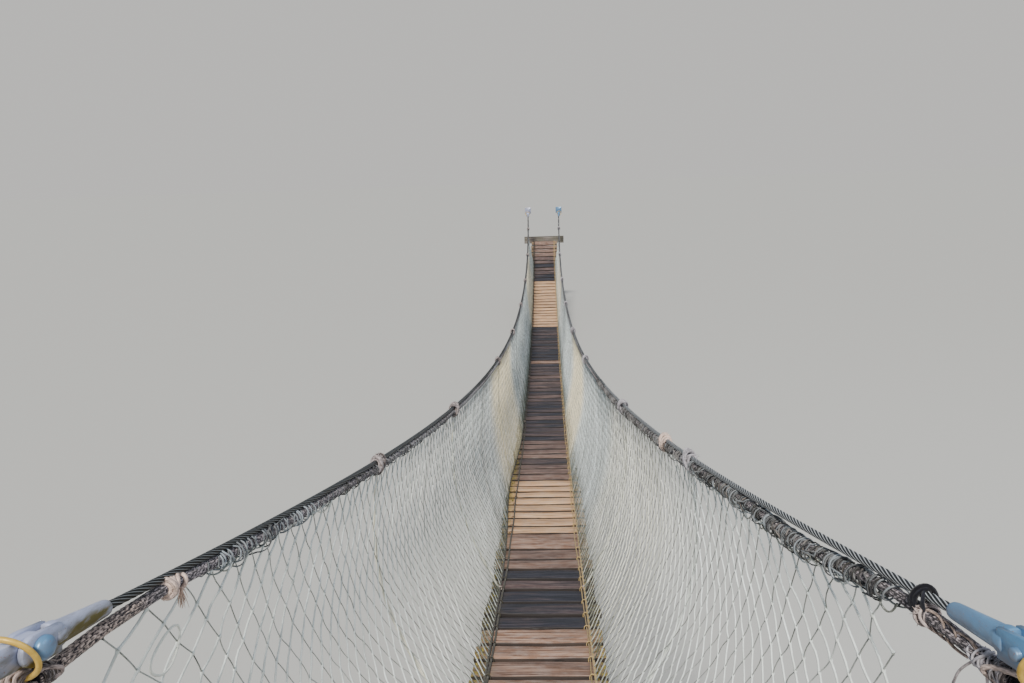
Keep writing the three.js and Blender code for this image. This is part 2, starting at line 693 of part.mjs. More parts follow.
// Socket, pin, anchor eye and rope ring at one end of a hand cable, drawn about the pin's centre with
// the cable leaving along +Y
function socket() {
  const profile = [
    [0, SOCKET_SHOULDER], [SOCKET_SHOULDER_RADIUS, SOCKET_SHOULDER], [SOCKET_SHOULDER_RADIUS, SOCKET_SHOULDER + 16],
    [SHANK_RADIUS, SOCKET_SHOULDER + 24], [SHANK_NOSE_RADIUS, SOCKET_LENGTH - 12],
    [CABLE_RADIUS + 3, SOCKET_LENGTH], [0, SOCKET_LENGTH],
  ];
  const shank = new THREE.LatheGeometry(profile.map(([r, y]) => new THREE.Vector2(r, y)), 12);
  let solid = solidOf(shank);
  const cheek = new THREE.Shape();
  const cheekEnd = SOCKET_SHOULDER + 12;
  cheek.moveTo(cheekEnd, -SOCKET_SHOULDER_RADIUS);
  cheek.lineTo(cheekEnd, SOCKET_SHOULDER_RADIUS);
  cheek.lineTo(8, CHEEK_RADIUS);
  cheek.absarc(-CHEEK_TAIL, 0, CHEEK_RADIUS, Math.PI / 2, (3 * Math.PI) / 2, false);
  cheek.lineTo(8, -CHEEK_RADIUS);
  const bore = new THREE.Path();
  bore.absarc(0, 0, PIN_HOLE_RADIUS, 0, 2 * Math.PI, true);
  cheek.holes.push(bore);
  for (const start of [-THROAT_HALF - CHEEK_THICKNESS, THROAT_HALF]) {
    const plate = new THREE.ExtrudeGeometry(cheek, { depth: CHEEK_THICKNESS, curveSegments: 6, bevelEnabled: false });
    plate.translate(0, 0, start).applyMatrix4(acrossBridge);
    solid = solid.add(solidOf(plate));
  }
  return geometryOf(solid);
}

function pin(headSide) {
  const head = THROAT_HALF + CHEEK_THICKNESS + TOUCH;
  const profile = [
    [0, -head - 7], [PIN_RADIUS - 2, -head - 7], [PIN_RADIUS, -head - 5], [PIN_RADIUS, head],
    [PIN_HEAD_RADIUS, head], [PIN_HEAD_RADIUS, head + 5], [PIN_HEAD_RADIUS - 6, head + 11], [0, head + 14],
  ];
  const geometry = new THREE.LatheGeometry(profile.map(([r, y]) => new THREE.Vector2(r, y)), PIN_SEGMENTS);
  return geometry.rotateZ((-headSide * Math.PI) / 2);
}

// Flat bar of an anchor: its eye fits the socket's fork, and its other end stops length behind the pin
function eyeBar(length) {
  const outline = new THREE.Shape();
  outline.moveTo(-length, -EYE_BAR_HALF_HEIGHT);
  outline.lineTo(0, -EYE_BAR_HALF_HEIGHT);
  outline.absarc(0, 0, EYE_BAR_HALF_HEIGHT, -Math.PI / 2, Math.PI / 2, false);
  outline.lineTo(-length, EYE_BAR_HALF_HEIGHT);
  const bore = new THREE.Path();
  bore.absarc(0, 0, PIN_HOLE_RADIUS, 0, 2 * Math.PI, true);
  outline.holes.push(bore);
  const depth = 2 * EYE_BAR_HALF_THICKNESS;
  const flat = new THREE.ExtrudeGeometry(outline, { depth, curveSegments: 6, bevelEnabled: false });
  return flat.translate(0, 0, -EYE_BAR_HALF_THICKNESS).applyMatrix4(acrossBridge);
}

function ropeRing(inwardSign) {
  const ring = new THREE.TorusGeometry(RING_RADIUS, RING_BAR_RADIUS, THIN_SIDES, RING_SEGMENTS);
  ring.rotateX(Math.PI / 2 + RING_LEAN).rotateZ(inwardSign * RING_TURN);
  return ring.translate(inwardSign * RING_CENTRE[0], RING_CENTRE[1], RING_CENTRE[2]);
}

function railEnd(end, side, rail) {
  const inward = end === 'near' ? 1 : -1;
  const cableEnd = end === 'near' ? rail[0] : rail[rail.length - 1];
  const next = end === 'near' ? rail[1] : rail[rail.length - 2];
  const along = next.clone().sub(cableEnd).normalize();
  const across = new THREE.Vector3().crossVectors(along, new THREE.Vector3(0, 0, 1)).normalize();
  const up = new THREE.Vector3().crossVectors(across, along);
  const pinCentre = cableEnd.clone().addScaledVector(along, -(SOCKET_LENGTH + TOUCH));
  const set = new THREE.Matrix4().makeBasis(across, along, up);
  const name = `${end}_${sideName(side)}`;
  const turned = (geometry) => geometry.applyMatrix4(set).translate(pinCentre.x, pinCentre.y, pinCentre.z);
  addPiece(bridge, `hand_cable_socket_${name}`, turned(socket()), galvanised, pinCentre);
  addPiece(bridge, `socket_pin_${name}`, turned(pin(inward)), galvanised, pinCentre);
  const backY = pinCentre.y - inward * ANCHOR_BACK_FROM_PIN;
  const plateY = backY + (inward * ANCHOR_PLATE_THICKNESS) / 2;
  const onAxis = (y) => pinCentre.clone().addScaledVector(along, (y - pinCentre.y) / along.y);
  const plateCentre = onAxis(plateY);
  const plate = box(ANCHOR_PLATE_SIDE, ANCHOR_PLATE_THICKNESS, ANCHOR_PLATE_SIDE, plateCentre);
  const barEnd = (ANCHOR_BACK_FROM_PIN - BAR_END_FROM_BACK) / Math.abs(along.y);
  const solid = solidOf(turned(eyeBar(barEnd))).add(solidOf(plate));
  addPiece(bridge, `anchor_eye_${name}`, geometryOf(solid), galvanised, onAxis(backY));
  addPiece(bridge, `head_rope_ring_${name}`, turned(ropeRing(-side * inward)), yellowSteel, pinCentre);
}

for (const side of [-1, 1]) {
  const rail = railLine(side);
  const head = headRopeLine(rail);
  const foot = footRopeLine(side);
  const surface = netSurface(side, head, foot);
  const headBends = head.map((point) => point.y);
  const footBends = foot.map((point) => beforeLean(point.y));
  const name = sideName(side);
  addPiece(bridge, `hand_cable_${name}`, rope(rail, CABLE_RADIUS, ROUND_SIDES), galvanised);
  addPiece(bridge, `head_rope_${name}`, rope(head, HEAD_ROPE_RADIUS, ROUND_SIDES), darkRope);

  let footRope = solidOf(rope(foot, FOOT_ROPE_RADIUS, THIN_SIDES));
  for (const y of HANGERS_AT) {
    const hanger = solidOf(rope(hangerLine(side, surface, rail, foot, y), HANGER_RADIUS, THIN_SIDES));
    footRope = footRope.add(hanger).add(solidOf(lashing(rail, y)));
  }
  addPiece(bridge, `hangers_and_foot_rope_${name}`, geometryOf(footRope), greyRope);

  const cuts = deckStations.filter((y) => y > NET_NEAR_END + 300 && y < NET_FAR_END - 300);
  const panelEnds = [NET_NEAR_END];
  for (let p = 1; p < NET_PANELS; p += 1) {
    const wanted = NET_NEAR_END + ((NET_FAR_END - NET_NEAR_END) * p) / NET_PANELS;
    panelEnds.push(cuts.reduce((best, y) => (Math.abs(y - wanted) < Math.abs(best - wanted) ? y : best)));
  }
  panelEnds.push(NET_FAR_END);
  for (let p = 0; p < NET_PANELS; p += 1) {
    const from = panelEnds[p] + PANEL_GAP / 4;
    const to = panelEnds[p + 1] - PANEL_GAP / 4;
    let panel = solidOf(netPanel(side, surface, headBends, footBends, from, to));
    for (const y of HANGERS_AT) {
      if (y > from - 100 && y < to + 100) panel = panel.subtract(solidOf(lashing(rail, y, 0.5)));
    }
    addPiece(bridge, `net_panel_${name}_${p + 1}`, geometryOf(panel), netCord);
  }
  railEnd('near', side, rail);
  railEnd('far', side, rail);
}

export default bridge;
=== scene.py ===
"""Looks of a rope suspension footbridge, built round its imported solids.

Metres, in the frame of the solids: X to the walker's right, Y along the bridge, Z up."""

import math
from functools import partial

import bpy
import numpy as np
from mathutils import Matrix


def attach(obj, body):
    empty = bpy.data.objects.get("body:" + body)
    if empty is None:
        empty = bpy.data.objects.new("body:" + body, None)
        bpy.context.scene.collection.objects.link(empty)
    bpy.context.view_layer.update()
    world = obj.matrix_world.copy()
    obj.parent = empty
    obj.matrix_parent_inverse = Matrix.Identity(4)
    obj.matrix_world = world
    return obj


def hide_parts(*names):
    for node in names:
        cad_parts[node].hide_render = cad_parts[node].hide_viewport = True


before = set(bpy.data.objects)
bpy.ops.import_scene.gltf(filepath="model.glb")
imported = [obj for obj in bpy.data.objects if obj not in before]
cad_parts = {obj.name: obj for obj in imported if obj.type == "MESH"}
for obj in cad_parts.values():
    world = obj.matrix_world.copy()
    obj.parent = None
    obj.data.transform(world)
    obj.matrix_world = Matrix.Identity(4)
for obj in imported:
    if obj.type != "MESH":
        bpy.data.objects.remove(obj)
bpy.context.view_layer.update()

SIDES = ((-1, "left"), (1, "right"))
TURN = 2 * np.pi
X_AXIS, Y_AXIS, Z_AXIS = np.eye(3)

# Camera, as fitted to the photograph: place, lens, and pitch down, yaw left and roll in degrees
EYE = (0.069, -0.077, 1.551)
LENS_MM, SENSOR_MM = 26.37, 36.0
PITCH, YAW, ROLL = 12.745, 2.909, -1.882

# Hang of the deck and spread of the hand cables
SPAN, SAG = 17.4, 0.923
FAR_LIFT, FAR_LIFT_LENGTH = 0.787, 1.76
DECK_TOP_AT_ENDS = 0.062
RAIL_HALF_MID = 0.275
RAIL_FLARE_NEAR, RAIL_FLARE_NEAR_LENGTH = 0.537, 3.616
RAIL_FLARE_FAR, RAIL_FLARE_FAR_LENGTH = 0.080, 2.2
RAIL_HEIGHT, RAIL_DROP_TO_FAR = 1.051, 0.014
RAIL_NEAR_END = {-1: 1.020, 1: 0.992}
RAIL_FAR_END = 16.350

# Boards
DECK_ENDS = (0.134, SPAN - 0.134)
PLANK_LENGTH, PLANK_THICKNESS, PLANK_GAP = 0.600, 0.028, 0.037
PLANK_COUNT, PLANKS_PER_BAY = 105, 15
PLANK_PITCHES = (164, 154, 176, 155, 167, 180, 148, 158, 168, 179)
FIRST_PITCH = 4
WIDE_PLANK, WIDE_PITCH = 26, 311
PLANK_EDGE_R = 0.0035
# How far single boards differ: half width, thickness, half length, shift, slant, tilt, lift
PLANK_LEAST = (-0.003, 0.9, -0.012, -0.005, -0.010, -0.012, -0.002)
PLANK_MOST = (0.003, 1.0, 0.004, 0.005, 0.010, 0.012, 0.001)
TIE_X, FOOT_ROPE_X = 0.220, 0.234
TUFTS_TRIED, MOSS_FROM, MOSS_TO, MOSS_SPREAD = 9000, 0.236, 0.290, 0.026
FOOT_DRIFT, FOOT_DRIFT_AT, FOOT_DRIFT_LENGTH = 0.052, 5.75, 1.0

# Ropes and cables: radii, lays, and how far along the bridge they have their full detail
CABLE_R, HEAD_ROPE_R, FOOT_ROPE_R, TWINE_R = 0.008, 0.0125, 0.007, 0.0022
FOOT_END, BUNDLE_DROP = 0.0423, 0.0125
OUTER_WIRES, WIRE_LAY = 8, 0.150
ROPE_LAY, PLAIT_PERIOD = 0.06, 0.0135
DETAIL_TO = 4.6
LASHED_DROP, ROPE_END_DROP = 0.0205, 0.052

# Net: width of a mesh along the bridge, its spread at the near end, half rows from foot to head, panels
NET_NEAR_END, NET_FAR_END = {-1: 1.00, 1: 1.165}, 16.42
NET_MESH_WIDTH, NET_MESH_SPREAD = 0.060, 0.085
NET_SPREAD_FROM, NET_SPREAD_LENGTH = 0.94, 0.36
NET_HALF_ROWS, NET_PANELS = 18, 5
NET_BOW, NET_LEAN = 0.42, 0.85
# Its two families of twine: step across, thickness between and in knots, lightness (painted light: both are
# the same twine, the second painted darker as shade), sides near and far
NET_FAMILIES = ((1, 1.22, 2.2, 0.10, (4, 3)), (-1, 0.76, 1.6, -0.50, (3, 3)))
HANGERS_AT = (2.41, 3.84, 6.14, 8.05, 10.15, 12.15, 14.10, 15.75)

# Fittings, measured from the pin's centre; ring in (out, along, up)
SOCKET_LENGTH = 0.1653
STATION = {"near": 1.7367, "far": 15.9238}
EYE_BAR_R, EYE_BAR_THICKNESS = 0.021, 0.018
ANCHOR_BACK, ANCHOR_HALF, PLATE_THICKNESS = 0.175, 0.065, 0.010
PLATE_EASE = 0.0012
CHEEK_R, CHEEK_OFFSET = 0.0237, 0.0143
RING_R, RING_BAR_R = 0.0434, 0.0044
RING_CENTRE, RING_AXIS = (0.0114, -0.030, -0.0076), (-0.141, -0.858, -0.494)
HEAD_ROPE_ENDS = {"near": 0.868, "far": 16.497}
SHANK = (
    (0.004, 0.030), (0.0200, 0.030), (0.0216, 0.0315), (0.0220, 0.034), (0.0220, 0.044), (0.0214, 0.0475),
    (0.0198, 0.052), (0.0190, 0.057), (0.0168, 0.103), (0.0146, 0.150), (0.0141, 0.156), (0.0130, 0.1605),
    (0.0112, 0.1636), (0.0094, 0.1650), (0.0083, 0.1652), (0.0083, 0.160),
)
PIN = (
    (0.003, -0.0275), (0.0075, -0.0275), (0.0092, -0.0260), (0.0095, -0.0245), (0.0095, 0.0196),
    (0.0175, 0.0196), (0.0182, 0.0205),
)

# Stretches of painted sunlight and shade on the boards: where each ends along the bridge, how pale it is
# painted (pale for sun, dark for shade) and how warm its painted sunlight is
BOARD_SUN_AND_SHADE = np.array([
    (2.62, 0.46, 0.10), (3.22, 0.66, 0.20), (3.98, 0.05, 0.0), (4.66, 0.58, 0.20), (6.02, 0.92, 0.85),
    (7.30, 0.42, 0.10), (8.90, 0.10, 0.0), (10.85, 0.16, 0.05), (11.00, 0.62, 0.20), (13.00, 0.05, 0.0),
    (15.60, 0.88, 0.85), (16.75, 0.08, 0.05), (17.40, 0.58, 0.15),
])

# Painted sunlight and shade on the nets along the bridge: place, painted brightness and warmth on the left
# and on the right
NET_SUN_AND_SHADE = np.array([
    (1.0, 0.92, 0.25, 0.95, 0.20), (2.3, 0.88, 0.20, 0.90, 0.20), (3.0, 0.78, 0.25, 0.72, 0.45),
    (4.2, 0.62, 0.15, 0.70, 0.40), (4.6, 0.55, 0.10, 0.50, 0.05), (5.3, 0.60, 0.10, 0.52, 0.05),
    (5.7, 0.95, 0.85, 0.55, 0.05), (6.3, 0.95, 0.90, 0.60, 0.10), (6.7, 0.95, 0.90, 0.97, 0.85),
    (7.3, 0.95, 0.85, 0.97, 0.85), (7.9, 0.60, 0.10, 0.95, 0.80), (8.6, 0.55, 0.05, 0.55, 0.05),
    (11.0, 0.60, 0.05, 0.60, 0.05), (12.6, 0.70, 0.15, 0.70, 0.15), (13.2, 0.97, 0.70, 0.95, 0.65),
    (15.2, 0.95, 0.60, 0.92, 0.50), (15.8, 0.80, 0.15, 0.80, 0.15), (17.0, 0.80, 0.15, 0.80, 0.15),
])

# Coils of twine on the head ropes: start, end, pitch, height over the rope, points a turn, swell, droop,
# hand, tone, warmth
EVEN_COIL = (1.26, 16.25, 0.042, 0, 6, 0.06, 0.0, 1, 0.26, 0.1)
LOOSE_COILS = {
    -1: (
        (1.34, 1.84, 0.030, 0.002, 12, 0.50, 0.004, -1, 0.50, 0.0),
        (1.42, 1.80, 0.064, 0.003, 18, 0.70, 0.008, 1, 0.32, 0.1),
        (1.95, 3.60, 0.060, 0.001, 10, 0.35, 0.002, -1, 0.16, 0.2),
    ),
    1: (
        (1.10, 2.36, 0.031, -0.0016, 12, 0.45, 0.004, -1, 0.14, 0.35),
        (1.12, 2.36, 0.058, 0.0014, 18, 0.75, 0.009, 1, 0.30, 0.10),
        (1.16, 2.30, 0.071, -0.0006, 20, 0.65, 0.006, -1, 0.18, 0.6),
        (1.14, 2.34, 0.047, -0.0006, 16, 0.85, 0.010, 1, 0.12, 0.2),
        (1.20, 2.20, 0.095, 0.0014, 24, 0.70, 0.012, -1, 0.52, 0.0),
        (2.45, 5.00, 0.034, 0.002, 9, 0.50, 0.003, -1, 0.30, 0.4),
        (2.45, 4.40, 0.062, 0.002, 12, 0.60, 0.006, 1, 0.20, 0.2),
    ),
}
SWAGS = {-1: (1.30, 1.95, 14), 1: (1.12, 2.30, 46)}

# Right near end. Yarn rings: place, half length, half height, tone. Knots: place, size, tone, loops, seed.
# Loose ends: place, place of the foot, fall, lean
YARN_RINGS = ((1.030, 0.034, 0.0150, 0.42), (0.960, 0.036, 0.0150, 0.34), (1.000, 0.030, 0.0145, 0.20))
NEAR_KNOTS = (
    (1.055, 0.0150, 0.45, 7, 31), (0.925, 0.0125, 0.95, 4, 32), (0.900, 0.0130, 0.70, 4, 33),
    (0.880, 0.0150, 0.10, 6, 34),
)
LOOSE_ENDS = ((0.925, 0.975, 0.075, -1), (0.905, 0.900, 0.080, 1), (0.885, 0.860, 0.070, -1))

rng = np.random.default_rng(7)


def bell(y, place, width):
    """A bell curve, one high, round a place."""
    return np.exp(-(((y - place) / width) ** 2))


def deck_top(y):
    """Height of the boards' top: a hung parabola and an exponential lift at the far end."""
    t = y / SPAN
    lift = np.exp(-(SPAN - y) / FAR_LIFT_LENGTH) - t
    return DECK_TOP_AT_ENDS - 4 * SAG * t * (1 - t) + FAR_LIFT * lift


def deck_slope(y):
    """Derivative of deck_top along the bridge."""
    lift = np.exp(-(SPAN - y) / FAR_LIFT_LENGTH) / FAR_LIFT_LENGTH - 1 / SPAN
    return -4 * SAG * (1 - 2 * y / SPAN) / SPAN + FAR_LIFT * lift


def rail_half(y):
    """Half the distance between the hand cables: a constant with an exponential flare at each end."""
    near = RAIL_FLARE_NEAR * np.exp(-y / RAIL_FLARE_NEAR_LENGTH)
    return RAIL_HALF_MID + near + RAIL_FLARE_FAR * np.exp(-(SPAN - y) / RAIL_FLARE_FAR_LENGTH)


def points(x, y, z):
    """Three coordinates, each a number or an array, as one array of points."""
    return np.stack(np.broadcast_arrays(x, y, z), -1).astype(float)


def unit(v):
    return v / np.maximum(np.linalg.norm(v, axis=-1, keepdims=True), 1e-12)


def held(x):
    """A value kept between nought and one."""
    return np.clip(x, 0, 1)


def square_to(t, ref=Z_AXIS):
    """Two unit vectors square to a direction and to each other: across, square to ref too, and up."""
    across = unit(np.cross(t, ref))
    return across, np.cross(across, t)


def circle(n):
    """Angles of n points round a circle."""
    return np.linspace(0, TURN, n, endpoint=False)


def ellipse(centre, angle, u, wide, v, high):
    """Points at angles round a centre, as far as wide along u and as far as high along v."""
    return centre + (wide * np.cos(angle))[..., None] * u + (high * np.sin(angle))[..., None] * v


def slope_up(y):
    """Unit vector square to the deck line in the upright plane along the bridge."""
    return unit(points(0, -deck_slope(y), 1))


def rail_line(side, y):
    """Axis of a hand cable."""
    return points(side * rail_half(y), y, deck_top(y) + RAIL_HEIGHT - RAIL_DROP_TO_FAR * y / SPAN)


def head_line(side, y):
    """Axis of a head rope: lashed close below the hand cable along the bridge, wider past the sockets, and
    on the right hanging slack for a stretch near the viewer."""
    near = np.interp(y, [0.868, 0.900, 1.01, 1.18], [ROPE_END_DROP, 0.051, 0.034, LASHED_DROP])
    far = np.interp(y, [16.19, 16.35, 16.465, 16.497], [LASHED_DROP, 0.034, 0.051, ROPE_END_DROP])
    slack = 0.018 * bell(y, 1.5, 0.3) if side > 0 else 0.0
    drop = np.maximum(near, far) + slack
    return rail_line(side, y) - slope_up(y) * np.asarray(drop)[..., None]


def foot_line(side, y):
    """Axis of a foot rope, lying on the boards beside the ties; the left one drifts out to the board
    ends and back by a bell curve."""
    drift = FOOT_DRIFT * bell(y, FOOT_DRIFT_AT, FOOT_DRIFT_LENGTH) if side < 0 else 0.0
    return points(side * (FOOT_ROPE_X + drift), y, deck_top(y)) + slope_up(y) * (FOOT_ROPE_R + 0.0003)


def foot_cable_line(side, y):
    """Axis of a foot cable, under the boards and straight past their ends."""
    inside = np.clip(y, *DECK_ENDS)
    base = points(side * TIE_X, inside, deck_top(inside))
    base = base - slope_up(inside) * (PLANK_THICKNESS + 0.0005 + CABLE_R)
    return base + points(0, y - inside, (y - inside) * deck_slope(inside))


def net_lean(y):
    """How much nearer the net's foot stands than its head where the deck falls away."""
    return np.minimum(0.0, deck_slope(y)) * NET_LEAN


def net_point(side, y, v):
    """Point of a net: on the straight line from foot rope (v 0) to head rope (v 1), moved outward by a
    sine of v times a share of the flare."""
    head = head_line(side, y)
    foot = foot_line(side, y + net_lean(y))
    span = unit(head - foot)
    v = np.asarray(v, float)[..., None]
    low = foot + span * FOOT_ROPE_R
    high = head - span * HEAD_ROPE_R
    bow = NET_BOW * np.abs(head - foot)[..., :1] * np.sin(np.pi * v)
    return low + (high - low) * v + bow * side * X_AXIS


def net_outward(side, y, v):
    """Unit normal of the net, away from the walkway, from differences along both directions."""
    along = net_point(side, y + 0.01, v) - net_point(side, y - 0.01, v)
    rise = net_point(side, y, held(v + 0.02)) - net_point(side, y, held(v - 0.02))
    n = unit(np.cross(along, rise))
    return n * np.sign(n[..., :1] * side)


def arc_length(p):
    """Distance along a row of points, starting at nought."""
    steps = np.linalg.norm(np.diff(p, axis=-2), axis=-1)
    return np.concatenate([np.zeros(steps.shape[:-1] + (1,)), np.cumsum(steps, -1)], -1)


def stations(line, start, end, near_step, far_step, reach):
    """Distances y along a line whose steps grow from near_step to far_step over the first reach metres."""
    y = np.linspace(start, end, 6000)
    s = arc_length(line(y))
    step = near_step + (far_step - near_step) * held(s / reach)
    count = np.concatenate([[0], np.cumsum(np.diff(s) / step[1:])])
    return np.interp(np.linspace(0, count[-1], int(round(count[-1])) + 1), count, y)


def two_stretches(line, start, end, near, far):
    """A long line in two stretches, fine up to DETAIL_TO and coarse beyond: for each its stations, the
    length at which it starts and its number of sides. near gives first step, last step and sides, far
    gives step and sides."""
    first = stations(line, start, DETAIL_TO, near[0], near[1], 4.0)
    second = stations(line, DETAIL_TO, end, far[0], far[0], 1.0)
    return [(first, 0.0, near[2]), (second, float(arc_length(line(first))[-1]), far[1])]


def strand_profile(angle, strands, fill=0.0):
    """Radius of a laid rope at an angle, as a share of its full radius: round strands side by side,
    with the grooves no deeper than fill."""
    half = math.pi / strands
    q = math.sin(half) / (1 + math.sin(half))
    a = (angle + half) % (2 * half) - half
    inside = np.maximum(q * q - ((1 - q) * np.sin(a)) ** 2, 0)
    return np.maximum((1 - q) * np.cos(a) + np.sqrt(inside), fill)


def plait(angle, s):
    """Radius of a plaited rope: the higher of two families of waves that cross round it."""
    k = TURN / PLAIT_PERIOD
    ridge = np.maximum(np.cos(6 * angle - k * s), np.cos(6 * angle + k * s))
    return 0.925 + 0.075 * ridge


class Form:
    """Gathers points, faces and point attributes of one piece before they become its mesh."""

    def __init__(self):
        self.points, self.faces, self.data, self.count = [], [], {}, 0

    def add(self, p, faces, **data):
        p = np.asarray(p, float).reshape(-1, 3)
        self.faces += [np.asarray(group, int) + self.count for group in faces]
        for name, values in data.items():
            values = np.asarray(values, float).reshape(-1, 3 if name == "rest" else 1)
            self.data.setdefault(name, {})[self.count] = values + np.zeros((len(p), 1))
        self.points.append(p)
        self.count += len(p)

    def build(self, name, material, slot, *replaces):
        """The mesh, from whole arrays of corners and faces, as an object that rides on the bridge."""
        mesh = bpy.data.meshes.new(name)
        corners = np.concatenate([g.ravel() for g in self.faces])
        sizes = np.concatenate([np.full(len(g), g.shape[1]) for g in self.faces])
        mesh.vertices.add(self.count)
        mesh.vertices.foreach_set("co", np.concatenate(self.points).astype(np.float32).ravel())
        mesh.loops.add(len(corners))
        mesh.loops.foreach_set("vertex_index", corners.astype(np.int32))
        mesh.polygons.add(len(sizes))
        starts = np.concatenate([[0], np.cumsum(sizes)[:-1]])
        mesh.polygons.foreach_set("loop_start", starts.astype(np.int32))
        mesh.polygons.foreach_set("use_smooth", np.full(len(sizes), True))
        mesh.update(calc_edges=True)
        for key, parts in self.data.items():
            wide = 3 if key == "rest" else 1
            values = np.zeros((self.count, wide), np.float32)
            for start, part in parts.items():
                values[start : start + len(part)] = part
            layer = mesh.attributes.new(key, "FLOAT_VECTOR" if wide == 3 else "FLOAT", "POINT")
            layer.data.foreach_set("vector" if wide == 3 else "value", values.ravel())
        mesh.materials.append(material)
        piece = bpy.data.objects.new(name, mesh)
        bpy.context.scene.collection.objects.link(piece)
        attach(piece, "root")
        if replaces:
            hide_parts(*replaces)


def tube_faces(tubes, rings, sides, closed=False, caps=True):
    """Quads round and along each tube, and a flat end on each unless it closes on itself."""
    ring = np.arange(rings if closed else rings - 1)
    r, s = np.meshgrid(ring, np.arange(sides), indexing="ij")
    here, after = r * sides, (r + 1) % rings * sides
    beside = (s + 1) % sides
    quads = np.stack([here + s, after + s, after + beside, here + beside], -1).reshape(-1, 4)
    base = np.arange(tubes)[:, None, None] * rings * sides
    groups = [(quads[None] + base).reshape(-1, 4)]
    if caps and not closed:
        first = np.arange(sides)
        last = (rings - 1) * sides + first[::-1]
        groups.append((np.stack([first, last])[None] + base).reshape(-1, sides))
    return groups


def tangents(p, closed=False):
    """Direction of travel at each point of each path, from its two neighbours."""
    if closed:
        return unit(np.roll(p, -1, -2) - np.roll(p, 1, -2))
    ends = np.concatenate([p[..., :1, :], p, p[..., -1:, :]], -2)
    return unit(ends[..., 2:, :] - ends[..., :-2, :])


def add_tubes(
    form, paths, radius, sides, ref, twist=0.0, shape=None, closed=False, caps=True, start=0.0, **data
):
    """Sections carried along many paths at once. A section stands square to its path, its first
    direction square to ref. Its radius is radius times shape(angle, length), and it turns by twist
    radians a metre, which lays strands round the path. Lengths along it are counted from start."""
    paths = np.asarray(paths, float)
    if paths.ndim == 2:
        paths = paths[None]
    n, rings, _ = paths.shape
    whole = (n, rings, sides)
    t = tangents(paths, closed)
    across, up = square_to(t, ref)
    angle = np.broadcast_to(TURN * (np.arange(sides) + 0.5) / sides, whole)
    s = np.broadcast_to((arc_length(paths) + start)[..., None], whole)
    share = np.broadcast_to(1.0 if shape is None else shape(angle, s), whole)
    r = np.broadcast_to(np.asarray(radius, float), (n, rings))[..., None] * share
    p = ellipse(paths[:, :, None], angle + twist * s, across[:, :, None], r, up[:, :, None], r)
    apart = np.arange(n)[:, None, None] * 0.37
    rest = np.stack([r * np.cos(angle), r * np.sin(angle), s + apart], -1)
    filled = {k: np.broadcast_to(np.asarray(v, float), whole) for k, v in data.items()}
    form.add(p, tube_faces(*whole, closed, caps), rest=rest, groove=1 - share, **filled)


def smooth_path(p, n):
    """A smooth run of n points through a few given ones, by a cubic through each four neighbours."""
    p = np.asarray(p, float)
    q = np.concatenate([2 * p[:1] - p[1:2], p, 2 * p[-1:] - p[-2:-1]])
    t = np.linspace(0, len(p) - 1 - 1e-9, n)
    k = t.astype(int)
    f = (t - k)[:, None]
    a, b, c, d = q[k], q[k + 1], q[k + 2], q[k + 3]
    square = (2 * a - 5 * b + 4 * c - d) * f**2
    return 0.5 * (2 * b + (c - a) * f + square + (3 * b - a - 3 * c + d) * f**3)


def rounded_rectangle(low, high, radius, steps):
    """Outline of a rectangle between two corners, with a quarter circle of steps points at each corner."""
    signs = np.array([(1, 1), (-1, 1), (-1, -1), (1, -1)])
    turn = np.linspace(0, np.pi / 2, steps) + np.arange(4)[:, None] * np.pi / 2
    arc = np.stack([np.cos(turn), np.sin(turn)], -1) - signs[:, None]
    return (np.where(signs > 0, high, low)[:, None] + radius * arc).reshape(-1, 2)


def add_revolved(form, profile, origin, axis, up, sides):
    """A solid turned about an axis: its profile gives radius and distance from one flat end to the other."""
    profile = np.asarray(profile)[:, None]
    a = circle(sides)
    foot = origin + profile[..., 1:] * axis
    p = foot + profile[..., :1] * ellipse(0, a, np.cross(axis, up), 1, up, 1)
    under = held(0.8 - 35 * (p - foot)[..., 2])
    form.add(p, [g[:, ::-1] for g in tube_faces(1, len(p), sides)], under=under)


def add_plate(form, outline, thickness, origin, x_dir, y_dir, z_dir, under=None):
    """A flat plate with eased edges: the outline is drawn in on itself at both faces."""
    outline = np.asarray(outline, float)
    inward = unit(outline.mean(0) - outline) * PLATE_EASE
    high = thickness / 2 - PLATE_EASE
    half = thickness / 2
    rings = ((outline + inward, -half), (outline, -high), (outline, high), (outline + inward, half))
    p = np.stack([origin + r[:, :1] * x_dir + r[:, 1:] * y_dir + h * z_dir for r, h in rings])
    if under is None:
        under = held(0.5 - 25 * ((p - origin) @ y_dir))
    form.add(p, tube_faces(1, 4, len(outline)), under=under)


class Signal:
    """One output of a node. Adding, subtracting or multiplying it makes the node that does so."""

    def __init__(self, tree, socket):
        self.tree, self.socket = tree, socket

    def maths(self, operation, other):
        return make(self.tree, "ShaderNodeMath", {0: self, 1: other}, operation=operation)

    def __add__(self, other):
        return self.maths("ADD", other)

    def __sub__(self, other):
        return self.maths("SUBTRACT", other)

    def __mul__(self, other):
        return self.maths("MULTIPLY", other)

    def clamped(self):
        self.socket.node.use_clamp = True
        return self


def put(tree, socket, value):
    """Links a socket to a signal, or sets it to a number or colour."""
    if isinstance(value, Signal):
        tree.links.new(value.socket, socket)
    else:
        socket.default_value = (*value, 1.0) if socket.type == "RGBA" and len(value) == 3 else value


def make(tree, kind, inputs, output=0, **settings):
    """One output of a new shader node with its settings, and its inputs by name or number."""
    made = tree.nodes.new(kind)
    for key, value in settings.items():
        setattr(made, key, value)
    for key, value in inputs.items():
        put(tree, made.inputs[key], value)
    return Signal(tree, made.outputs[output])


